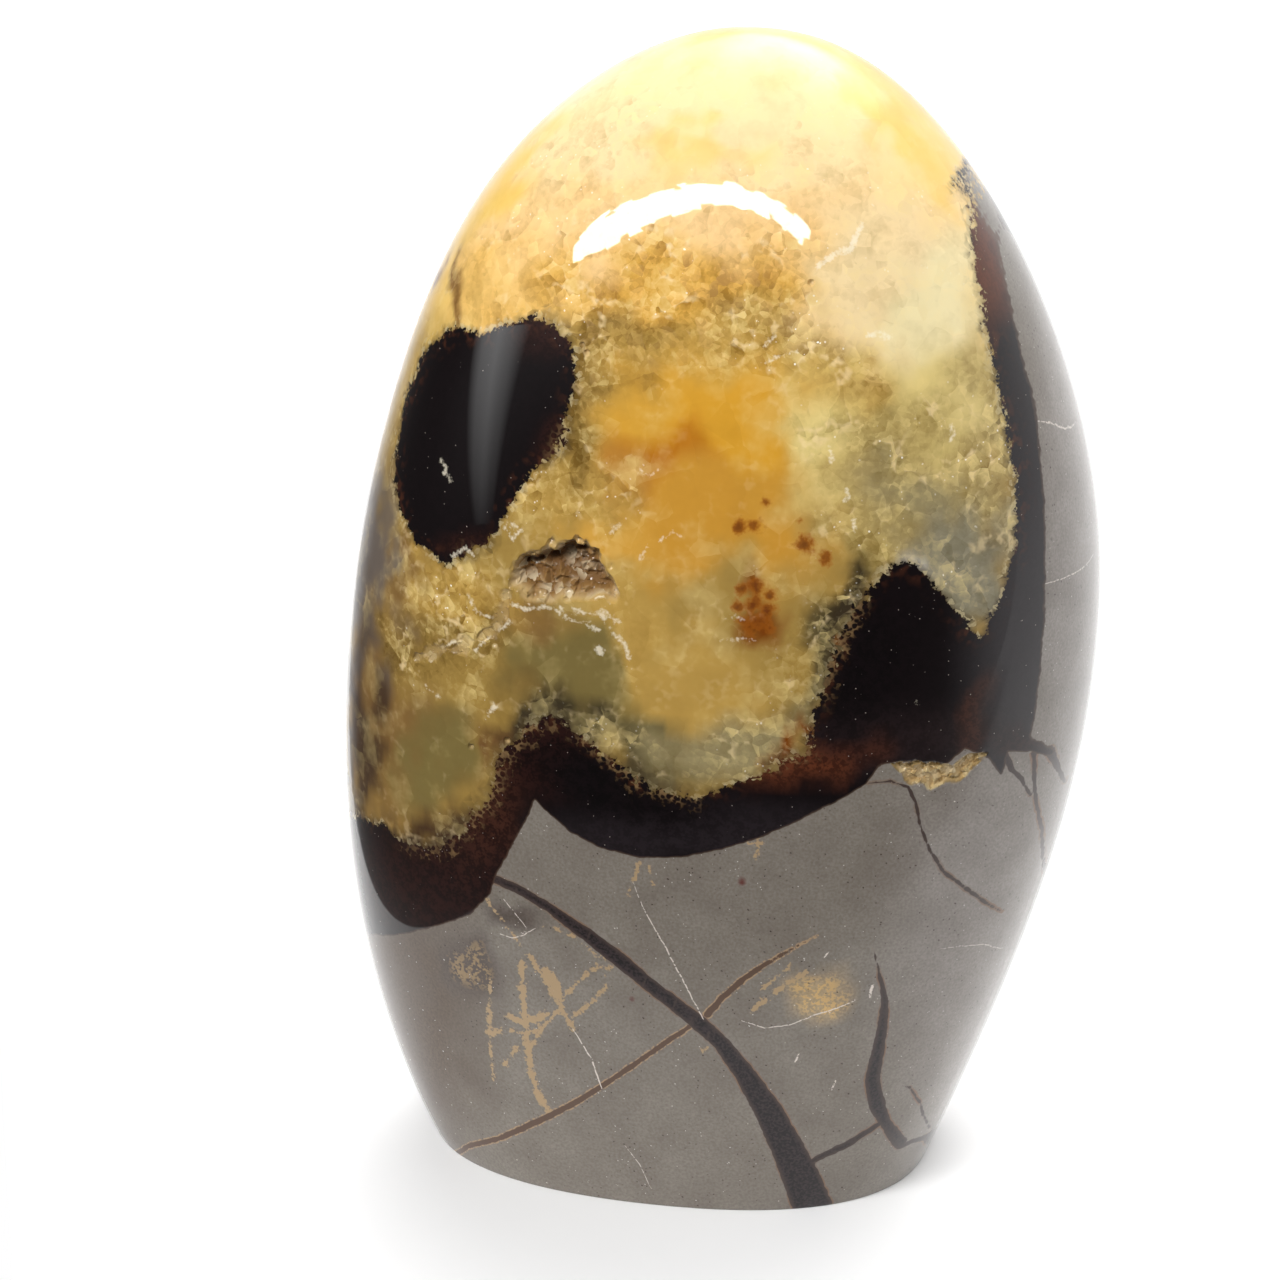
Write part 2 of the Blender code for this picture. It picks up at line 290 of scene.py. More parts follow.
def hollow_depth(places):
    """How far each (x, z) place of the front lies below the polish."""
    ragged = RIM_RAGGEDNESS * np.array([
        noise.noise(Vector((x, 0.0, z)) / RIM_RAGGED_SIZE) for x, z in places
    ])
    rise = np.clip((places[:, 1] - VUG_LIP_HEIGHT) / (VUG_ROOF_HEIGHT - VUG_LIP_HEIGHT), 0.0, 1.0)
    floor_depth = VUG_LIP_DEPTH + (VUG_DEPTH - VUG_LIP_DEPTH) * rise
    vug = np.clip(VUG_WALL_SLOPE * (inside_field(places, VUG_RIM) + ragged), 0.0, floor_depth)
    vug = lined(places, vug, VUG_CRYSTALS)
    swing = 1.0 + FISSURE_WIDTH_SWING * np.sin(math.tau * places[:, 0] / FISSURE_SWING_LENGTH)
    fissure_distance = np.maximum(0.0, np.abs(line_field(places, FISSURE_LINE)[0]) + ragged)
    fissure = FISSURE_DEPTH * (1.0 - (fissure_distance / (FISSURE_HALF_WIDTH * swing)) ** 2)
    fissure = lined(places, np.maximum(fissure, 0.0), FISSURE_CRYSTALS)
    pit_room = inside_field(places, PIT_RIM) + PIT_RAGGED_SHARE * ragged
    pit = lined(places, np.clip(PIT_WALL_SLOPE * pit_room, 0.0, PIT_DEPTH), PIT_CRYSTALS)
    holes = np.zeros(len(places))
    for middle, radius in zip(SMALL_HOLES, SMALL_HOLE_RADII):
        reach = np.hypot(*(places - middle).T) / radius
        holes = np.maximum(holes, SMALL_HOLE_DEPTH * radius * (1.0 - reach ** 2))
    return np.max([vug, fissure, pit, holes], axis=0)


def hollow_distance(places):
    """Distance from (x, z) places to the nearest hollow, negative inside one."""
    to_fissure = np.abs(line_field(places, FISSURE_LINE)[0]) - FISSURE_HALF_WIDTH
    distances = [-inside_field(places, VUG_RIM), -inside_field(places, PIT_RIM), to_fissure]
    for middle, radius in zip(SMALL_HOLES, SMALL_HOLE_RADII):
        distances.append(np.hypot(*(places - middle).T) - radius)
    return np.min(distances, axis=0)


# Where the minerals meet. The yellow calcite filled the hollow of the nodule last, over a rim
# of dark aragonite on the grey marl. Each edge is a closed outline, drawn on the front.

CALCITE_OUTLINE = drawn([
    (965, 160), (973, 185), (975, 210), (972, 240), (980, 290), (990, 340), (1000, 390),
    (1005, 420), (1012, 460), (1017, 500), (1015, 550), (1005, 585), (995, 610), (980, 640),
    (965, 620), (950, 605), (935, 585), (920, 570), (908, 562), (893, 565), (880, 580),
    (862, 600), (850, 620), (840, 640), (832, 665), (822, 690), (815, 715), (812, 735),
    (810, 750), (780, 760), (760, 775), (735, 785), (700, 797), (675, 793), (640, 783),
    (620, 765), (600, 750), (580, 735), (562, 722), (550, 715), (535, 722), (520, 735),
    (508, 750), (500, 765), (497, 785), (480, 810), (460, 835), (440, 850), (425, 848),
    (400, 840), (385, 825), (360, 818), (330, 815), (200, 815), (200, -150), (1100, -150),
    (1000, 130),
])
ISLAND_OUTLINE = drawn([
    (455, 325), (480, 335), (520, 320), (548, 318), (572, 345), (575, 380), (565, 420),
    (560, 450), (530, 470), (515, 500), (500, 520), (490, 540), (470, 550), (445, 565),
    (435, 555), (415, 540), (400, 510), (395, 480), (397, 450), (405, 400), (425, 350),
])
MARL_OUTLINE = drawn([
    (968, 170), (985, 190), (1000, 235), (1008, 290), (1017, 330), (1026, 370), (1035, 400),
    (1040, 440), (1045, 500), (1046, 560), (1045, 620), (1040, 680), (1035, 715), (1030, 738),
    (1042, 742), (1056, 750), (1052, 756), (1030, 752), (1008, 751), (1002, 776), (988, 758),
    (965, 748), (940, 770), (905, 762), (880, 765), (865, 785), (840, 800), (800, 820),
    (760, 838), (720, 850), (680, 858), (640, 858), (600, 848), (570, 832), (545, 810),
    (535, 800), (530, 812), (515, 840), (505, 860), (495, 878), (490, 895), (470, 915),
    (440, 925), (410, 933), (375, 935), (340, 930), (200, 930), (200, 1500), (1300, 1500),
    (1300, 170),
])

# The back is cut the same way through the same hollow: a cap of calcite, its dark rim, and a
# calcite vein that runs down through the marl to the standing plane. As (x, z).
BACK_CALCITE_OUTLINE = MM * np.array([
    (-90, 62), (-60, 62), (-50, 70), (-42, 86), (-33, 98), (-24, 112), (-16, 116), (-8, 108),
    (-2, 98), (6, 98), (12, 110), (20, 124), (30, 128), (37, 122), (43, 130), (50, 142),
    (90, 150), (90, 240), (-90, 240),
])
BACK_VEIN_LINE = MM * np.array([(2, 104), (4, 86), (1, 66), (6, 44), (11, 22), (12, -4)])
BACK_VEIN_WIDTHS = MM * np.array([9, 7, 6, 7.5, 8.5, 10])
BACK_RIM_WIDTH = 8.0 * MM
BACK_VEIN_RIM_WIDTH = 2.6 * MM
BACK_STARTS = 6.0 * MM
BACK_IS_WHOLE = 27.0 * MM


def gentle_step(values, low, high):
    """From 0 at low to 1 at high, smoothly."""
    share = np.clip((values - low) / (high - low), 0.0, 1.0)
    return share * share * (3.0 - 2.0 * share)


def mineral_fields(points):
    """How deep points lie inside the calcite and inside the marl, negative outside them."""
    places = points[:, [0, 2]]
    island = inside_field(places, ISLAND_OUTLINE)
    calcite = np.minimum(inside_field(places, CALCITE_OUTLINE), -island)
    marl = inside_field(places, MARL_OUTLINE)
    cap = inside_field(places, BACK_CALCITE_OUTLINE)
    offset, along, beyond = line_field(places, BACK_VEIN_LINE)
    half = 0.5 * np.interp(along, np.arange(len(BACK_VEIN_LINE)), BACK_VEIN_WIDTHS)
    back_vein = half - np.abs(offset)
    back_calcite = np.maximum(cap, back_vein)
    back_marl = np.minimum(-cap - BACK_RIM_WIDTH, -back_vein - BACK_VEIN_RIM_WIDTH)
    back = gentle_step(points[:, 1], BACK_STARTS, BACK_IS_WHOLE)
    return calcite + (back_calcite - calcite) * back, marl + (back_marl - marl) * back


# Cracks in the marl, long healed: dark aragonite in the wide ones, brown and tan calcite in the
# narrow ones, and white threads. Each is a line with its widths in millimetres, or with one
# half-width for the tan feathers and for the glints: painted highlights where cleavage in the
# calcite catches the light, with a few pale crystals among them.

def all_drawn(marks):
    """Marks whose picture points are brought onto the stone, each with its width or widths."""
    return [(drawn(points), width) for points, width in marks]


DARK_CRACKS = all_drawn([
    ([
        (484, 876), (500, 881), (520, 890), (550, 908), (590, 937), (622, 962), (650, 985),
        (680, 1008), (700, 1024), (722, 1044), (745, 1074), (768, 1110), (786, 1145), (800, 1175),
        (812, 1205), (822, 1235),
    ], [1.3, 1.5, 1.6, 1.7, 2.4, 2.6, 2.4, 2.5, 2.7, 2.7, 3.3, 4.4, 5.0, 5.5, 5.8, 5.8]),
    ([
        (873, 948), (878, 968), (885, 1000), (882, 1030), (877, 1055), (872, 1080), (877, 1105),
        (885, 1122), (893, 1132), (903, 1143),
    ], [0.1, 0.4, 1.0, 1.5, 1.8, 2.1, 2.4, 1.6, 1.5, 1.4]),
    ([
        (866, 783), (890, 781), (908, 787), (916, 803), (920, 825), (930, 850), (944, 872),
        (962, 885), (984, 901), (1003, 912),
    ], [0.2, 0.3, 0.4, 0.4, 0.4, 0.45, 0.6, 0.6, 0.5, 0.1]),
    ([(1034, 752), (1034, 775), (1036, 800), (1042, 830), (1046, 868), (1048, 890)],
     [0.7, 0.5, 0.4, 0.4, 0.3, 0.1]),
    ([(885, 1120), (868, 1131), (846, 1145), (826, 1154), (806, 1164)],
     [0.9, 1.0, 1.4, 1.2, 0.9]),
    ([(884, 1124), (893, 1140), (900, 1147), (912, 1141), (928, 1135), (938, 1130)],
     [0.9, 0.9, 1.0, 1.0, 1.2, 1.2]),
    ([(1003, 752), (1012, 770), (1021, 778), (1031, 796)], [1.2, 0.7, 0.6, 0.3]),
    ([(1048, 748), (1056, 762), (1066, 782)], [1.2, 0.7, 0.2]),
    ([(898, 1085), (910, 1087), (920, 1103), (930, 1128)], [0.1, 0.3, 0.3, 0.2]),
])
BROWN_CRACKS = all_drawn([
    ([
        (440, 1147), (470, 1145), (500, 1138), (525, 1127), (552, 1115), (580, 1100), (620, 1074),
        (655, 1050), (690, 1026),
    ], [0.5, 0.8, 0.9, 1.0, 1.0, 0.9, 0.8, 0.8, 0.7]),
    ([
        (706, 1016), (722, 998), (742, 980), (764, 965), (790, 950), (818, 935),
    ], [1.0, 0.9, 0.9, 0.7, 0.4, 0.1]),
])
WHITE_THREADS = all_drawn([
    ([
        (632, 880), (642, 905), (650, 920), (666, 948), (680, 975), (692, 998), (704, 1020),
    ], [0.05, 0.12, 0.16, 0.2, 0.2, 0.2, 0.15]),
    ([(572, 1028), (585, 1048), (592, 1060), (598, 1078), (603, 1092)],
     [0.1, 0.2, 0.22, 0.2, 0.15]),
    ([(503, 898), (514, 912), (527, 928)], [0.1, 0.15, 0.1]),
    ([(740, 1020), (765, 1028), (790, 1025), (815, 1015), (840, 1007), (856, 1000)],
     [0.1, 0.15, 0.15, 0.2, 0.2, 0.1]),
    ([(500, 934), (512, 938), (524, 935), (536, 928)], [0.1, 0.14, 0.14, 0.1]),
    ([(940, 949), (960, 946), (985, 944), (1004, 948)], [0.05, 0.1, 0.12, 0.08]),
    ([(1036, 421), (1050, 422), (1074, 425)], [0.1, 0.15, 0.1]),
    ([(1044, 584), (1068, 576), (1084, 567), (1093, 555)], [0.1, 0.16, 0.2, 0.1]),
    ([(869, 996), (873, 984)], [0.5, 0.4]),
    ([(824, 958), (829, 952)], [0.3, 0.2]),
    ([(795, 1062), (799, 1054)], [0.3, 0.2]),
    ([(831, 1090), (836, 1080)], [0.3, 0.2]),
    ([(625, 1145), (640, 1165), (652, 1190)], [0.05, 0.12, 0.05]),
])
TAN_FEATHERS = all_drawn([
    ([(487, 900), (510, 930), (528, 955)], 0.10),
    ([(522, 962), (522, 985), (524, 1012), (528, 1045), (530, 1070), (538, 1095), (549, 1112)], 0.55),
    ([(530, 955), (545, 980), (556, 1000), (566, 1015), (574, 1030)], 0.45),
    ([(545, 972), (553, 980), (557, 995)], 0.8),
    ([(560, 1002), (575, 985), (590, 970), (612, 968)], 0.28),
    ([(572, 1018), (590, 1003), (607, 985)], 0.3),
    ([(562, 1006), (545, 1025), (530, 1048)], 0.3),
    ([(505, 1064), (515, 1050), (528, 1042)], 0.4),
    ([(508, 1015), (520, 1022), (536, 1020), (548, 1014)], 0.55),
    ([(512, 1030), (526, 1034), (540, 1030)], 0.4),
    ([(490, 980), (489, 1010), (490, 1040), (493, 1080)], 0.16),
    ([(489, 1008), (489, 1034), (500, 1030)], 0.4),
    ([(545, 925), (572, 935), (597, 955), (622, 968)], 0.16),
    ([(597, 955), (596, 970), (588, 974)], 0.10),
    ([(752, 1012), (770, 995), (790, 982), (806, 972)], 0.35),
    ([(758, 992), (775, 978), (790, 966)], 0.2),
    ([(702, 1052), (716, 1040), (724, 1058), (732, 1072)], 0.12),
    ([(757, 828), (757, 850), (756, 862)], 0.18),
    ([(750, 843), (764, 842)], 0.12),
    ([(640, 862), (634, 880), (628, 895)], 0.14),
    ([(648, 864), (652, 880), (656, 892)], 0.12),
    ([(520, 888), (545, 905), (563, 918)], 0.05),
])
# Painted highlights, with a few pale crystals among them: white strokes where the calcite's cleavage
# glints.
GLINTS = all_drawn([
    ([(818, 266), (830, 257), (838, 252), (850, 249), (862, 226)], 0.35),
    ([(868, 336), (880, 332), (890, 338)], 0.3),
    ([(829, 448), (833, 458), (829, 463)], 0.16),
    ([(846, 488), (849, 498), (844, 501)], 0.16),
    ([(853, 520), (854, 531)], 0.2),
    ([(951, 426), (954, 436), (950, 440)], 0.16),
    ([(611, 534), (617, 526), (626, 520)], 0.16),
    ([(640, 560), (644, 552), (648, 546)], 0.14),
    ([(765, 346), (775, 336)], 0.2),
    ([(762, 364), (780, 356), (800, 351)], 0.12),
    ([(512, 604), (528, 610), (545, 606), (560, 612)], 0.22),
    ([(572, 608), (588, 614), (606, 611), (618, 622)], 0.22),
    ([(572, 590), (590, 598), (606, 596)], 0.3),
    ([(599, 650), (600, 651)], 0.6),
    ([(601, 614), (604, 618)], 0.45),
    ([(614, 634), (624, 643), (629, 658)], 0.3),
    ([(560, 606), (566, 618), (584, 624), (600, 630)], 0.16),
    ([(468, 594), (476, 612), (492, 618)], 0.2),
    ([(430, 660), (440, 650), (455, 641)], 0.2),
    ([(476, 650), (490, 636), (510, 622)], 0.24),
    ([(505, 528), (512, 538), (522, 530), (512, 524)], 0.22),
    ([(452, 556), (466, 548), (474, 556)], 0.22),
    ([(426, 686), (432, 692), (440, 697)], 0.16),
    ([(488, 714), (495, 706)], 0.35),
    ([(725, 618), (735, 616), (745, 620)], 0.12),
    ([(720, 641), (740, 638), (760, 641)], 0.1),
    ([(640, 470), (650, 476), (658, 470)], 0.14),
    ([(660, 540), (672, 532), (682, 536)], 0.14),
    ([(917, 703), (918, 705)], 0.25),
    ([(441, 461), (446, 468), (444, 473)], 0.3),
    ([(448, 474), (451, 481)], 0.25),
])
BACK_DARK_CRACKS = [
    (MM * np.array([(-4, 70), (-16, 62), (-28, 50), (-40, 38), (-54, 33)]),
     [2.2, 1.6, 2.4, 1.8, 1.2]),
    (MM * np.array([(10, 34), (22, 46), (34, 50), (46, 62), (56, 72)]), [1.6, 2.2, 3.0, 2.2, 1.4]),
    (MM * np.array([(-24, 10), (-30, 24), (-34, 40)]), [0.4, 1.2, 1.8]),
    (MM * np.array([(-22, 57), (-26, 72), (-36, 80)]), [1.6, 1.4, 1.8]),
    (MM * np.array([(32, 50), (30, 68), (36, 86), (34, 112)]), [2.0, 1.4, 1.2, 2.0]),
    (MM * np.array([(40, 55), (44, 36), (38, 16), (40, -2)]), [1.8, 1.2, 0.9, 1.4]),
]
FRONT_CRACKS_FADE = 9.0 * MM
FRONT_CRACKS_END = 15.0 * MM
BACK_CRACKS_WHOLE = 21.0 * MM
NO_CRACK = -3.0 * MM
THREAD_REACH = 1.2 * MM
GLINT_EASE = 0.4 * MM


def crack_room(points, front_cracks, back_cracks):
    """How deep points lie inside the nearest crack of a set, negative outside it."""
    room = np.full(len(points), NO_CRACK)
    places = points[:, [0, 2]]
    on_front = points[:, 1] < FRONT_CRACKS_END
    fade_front = 1.0 - gentle_step(points[:, 1], FRONT_CRACKS_FADE, FRONT_CRACKS_END)
    fade_back = gentle_step(points[:, 1], FRONT_CRACKS_END, BACK_CRACKS_WHOLE)
    for cracks, chosen, fade in (
        (front_cracks, on_front, fade_front), (back_cracks, ~on_front, fade_back),
    ):
        for line, widths in cracks:
            offset, along, beyond = line_field(places, line)
            half = 0.5 * MM * np.interp(along, np.arange(len(line)), widths) * fade
            inside = np.where(chosen, half - np.abs(offset) - beyond, NO_CRACK)
            room = np.maximum(room, inside)
    return room


def thread_field(points, threads):
    """Signed distance from the nearest thread of the front, and its half-width, below 0 if none."""
    best_offset = np.full(len(points), THREAD_REACH)
    best_half = np.full(len(points), -THREAD_REACH)
    for line, widths in threads:
        offset, along, beyond = line_field(points[:, [0, 2]], line)
        half = 0.5 * MM * np.interp(along, np.arange(len(line)), widths) - beyond
        closer = np.abs(offset) < np.minimum(THREAD_REACH, np.abs(best_offset))
        closer &= points[:, 1] < 0.0
        best_offset[closer] = offset[closer]
        best_half[closer] = half[closer]
    return best_offset, best_half


def feather_field(points, feathers):
    """How far inside the nearest feather or glint points of the front lie, negative outside."""
    field = np.full(len(points), NO_CRACK)
    for line, half in feathers:
        field = np.maximum(field, half * MM - np.abs(line_field(points[:, [0, 2]], line)[0]))
    return np.where(points[:, 1] < 0.0, field, NO_CRACK)


def crack_distance(points):
    """Distance from points to the edge of the nearest crack, thread, feather or glint."""
    cracks = np.abs(crack_room(points, DARK_CRACKS + BROWN_CRACKS, BACK_DARK_CRACKS))
    threads = np.abs(thread_field(points, WHITE_THREADS)[0])
    feathers = np.abs(np.minimum(feather_field(points, TAN_FEATHERS), 0.0))
    glints = np.abs(np.minimum(feather_field(points, GLINTS), 0.0)) + GLINT_EASE
    return np.min([cracks, threads, feathers, glints], axis=0)


# The mesh is finer where it has something to show: about 0.2 mm in the hollows, a third of a
# millimetre along cracks, glints and rust spots, and 0.7 mm along the edges of the minerals.

RUST_DOTS = [
    ((766, 502), 0.7), ((740, 527), 1.2), ((755, 527), 1.2), ((805, 544), 1.5),
    ((825, 558), 1.3), ((742, 882), 0.8), ((838, 640), 0.6), ((632, 999), 0.6),
    ((742, 590), 1.1), ((756, 587), 1.4), ((770, 595), 1.2), ((738, 606), 1.0),
    ((753, 604), 1.5), ((768, 611), 1.3), ((744, 621), 1.2), ((759, 622), 1.4),
    ((771, 627), 0.9), ((751, 634), 0.9), ((720, 335), 0.4), ((800, 521), 0.4),
]
RUST_SPOTS = drawn([middle for middle, reach in RUST_DOTS])
RUST_SPOT_MARGIN = 1.2 * MM
HOLLOW_MARGINS = [1.5 * MM, 0.8 * MM, 0.3 * MM]
CRACK_MARGINS = [0.8 * MM, 0.44 * MM]
EDGE_MARGINS = [0.9 * MM]


def refine(chosen_of, margin):
    """Halve the edges of the faces whose middles are chosen, and lift new points onto the sphere."""
    middles = np.array([tuple(face.calc_center_median().normalized()) for face in form.faces])
    chosen = chosen_of(stone_points(middles) + centre_shift, margin)
    for face, wanted in zip(form.faces, chosen):
        face.tag = bool(wanted)
    edges = [edge for edge in form.edges if any(face.tag for face in edge.link_faces)]
    made = bmesh.ops.subdivide_edges(form, edges=edges, cuts=1)
    for item in made["geom_inner"]:
        if isinstance(item, bmesh.types.BMVert):
            item.co.normalize()
    bmesh.ops.triangulate(form, faces=[face for face in form.faces if len(face.verts) > 3])


def near_marks(points, margin):
    """Whether points lie near a crack, a thread, a feather, a glint or a rust spot."""
    near = crack_distance(points) < margin
    for spot in RUST_SPOTS:
        near |= (points[:, 1] < 0.0) & (np.hypot(*(points[:, [0, 2]] - spot).T) < RUST_SPOT_MARGIN)
    return near


def near_edges(points, margin):
    """Whether points lie near the edge of a mineral."""
    calcite, marl = mineral_fields(points)
    return np.minimum(np.abs(calcite), np.abs(marl)) < margin


def near_hollows(points, margin):
    """Whether points lie near a hollow of the front."""
    return (points[:, 1] < 0.0) & (hollow_distance(points[:, [0, 2]]) < margin)


for chosen_of, margins in (
    (near_edges, EDGE_MARGINS), (near_marks, CRACK_MARGINS), (near_hollows, HOLLOW_MARGINS),
):
    for margin in margins:
        refine(chosen_of, margin)

# Lay the mesh on the stone's form, sink the hollows, close the base and round its edge.
BASE_EDGE_ROUNDING = 1.5 * MM
BASE_EDGE_STEPS = 3

points = stone_points(coordinates(form.verts)) + centre_shift
hollow = np.zeros(len(points))
fronts = points[:, 1] < 0.0
fronts &= hollow_distance(points[:, [0, 2]]) < RIM_RAGGEDNESS
hollow[fronts] = hollow_depth(points[fronts][:, [0, 2]])
points[:, 1] += hollow
hollow_layer = form.verts.layers.float.new("hollow")
for vert, point, depth in zip(form.verts, points, hollow):
    vert.co = point
    vert[hollow_layer] = depth / MM
for vert in form.verts:
    if vert.is_boundary:
        vert.co.z = 0.0
rim_edges = [edge for edge in form.edges if edge.is_boundary]
bmesh.ops.contextual_create(form, geom=rim_edges)
bmesh.ops.bevel(
    form, geom=rim_edges, offset=BASE_EDGE_ROUNDING, offset_type="OFFSET",
    segments=BASE_EDGE_STEPS, profile=0.5, affect="EDGES", material=-1, clamp_overlap=True,
)
bmesh.ops.triangulate(form, faces=[face for face in form.faces if len(face.verts) > 4])
bmesh.ops.recalc_face_normals(form, faces=form.faces[:])
stone_mesh = bpy.data.meshes.new("polished_nodule")
form.to_mesh(stone_mesh)
form.free()
CRYSTAL_EDGE_ANGLE = math.radians(28)
stone_mesh.shade_smooth()
stone_mesh.set_sharp_from_angle(angle=CRYSTAL_EDGE_ANGLE)
in_hollow = hollow_distance(coordinates(stone_mesh.vertices)[:, [0, 2]]) < 0.0
for polygon in stone_mesh.polygons:
    if polygon.center.y < 0.0 and all(in_hollow[index] for index in polygon.vertices):
        polygon.use_smooth = False
polished_nodule = bpy.data.objects.new("polished_nodule", stone_mesh)
bpy.context.scene.collection.objects.link(polished_nodule)

vertex_count = len(stone_mesh.vertices)
points = np.zeros(vertex_count * 3, dtype=np.float32)
stone_mesh.vertices.foreach_get("co", points)
points = points.reshape(-1, 3).astype(float)


def store(name, values):
    """Keep one number for each vertex of the stone under a name that its material reads."""
    attribute = stone_mesh.attributes.new(name, "FLOAT", "POINT")
    attribute.data.foreach_set("value", values.astype(np.float32))


calcite, marl = mineral_fields(points)
store("calcite", calcite / MM)
store("marl", marl / MM)
store("dark_crack", crack_room(points, DARK_CRACKS, BACK_DARK_CRACKS) / MM)
store("brown_crack", crack_room(points, BROWN_CRACKS, []) / MM)
thread_offset, thread_half = thread_field(points, WHITE_THREADS)
store("thread_offset", thread_offset / MM)
store("thread_half", thread_half / MM)
store("feather", feather_field(points, TAN_FEATHERS) / MM)
store("glint", feather_field(points, GLINTS) / MM)


# The colours of the polish. The calcite runs from cream at the top through honey and amber to
# olive and ochre at the bottom, and the marl from brown-grey to pale grey. Part of this is
# painted light: the top is paler for the glare on it, and the calcite's left flank and the
# marl's lower left are darker with painted shade. Each colour is laid in soft patches: its
# middle and reach in the picture, its tilt, and how crystalline it is.

def tone(red, green, blue):
    """A colour as it shows on a screen, from 0 to 255, in linear light."""
    shares = np.array([red, green, blue]) / 255.0
    return np.where(shares <= 0.04045, shares / 12.92, ((shares + 0.055) / 1.055) ** 2.4)


CREAM = tone(241, 215, 164)
SUN = tone(236, 196, 104)
STRAW = tone(243, 201, 124)
PEACH = tone(238, 198, 136)
MILK = tone(236, 210, 160)
PEARL = tone(236, 220, 170)
LEMON = tone(222, 199, 128)
HONEY = tone(216, 166, 74)
AMBER = tone(211, 155, 46)
GOLD = tone(199, 145, 52)
CARAMEL = tone(174, 100, 10)
TAWNY = tone(138, 100, 52)
OLIVE_GOLD = tone(186, 150, 76)
PALE_OLIVE = tone(173, 150, 90)
SAGE = tone(150, 136, 97)
GREEN_GREY = tone(138, 131, 108)
BLUE_MILK = tone(174, 168, 156)
BRONZE = tone(162, 132, 68)
DULL_BRONZE = tone(144, 116, 59)
OLIVE = tone(122, 106, 60)
DEEP_OLIVE = tone(106, 94, 58)
MOSS = tone(84, 74, 48)
OCHRE = tone(129, 98, 54)
UMBER = tone(110, 78, 44)
DARK_BROWN = tone(72, 52, 34)
DARK_MOSS = tone(58, 50, 34)
RUST = tone(122, 62, 8)
SHEEN_LILAC = tone(108, 97, 88)

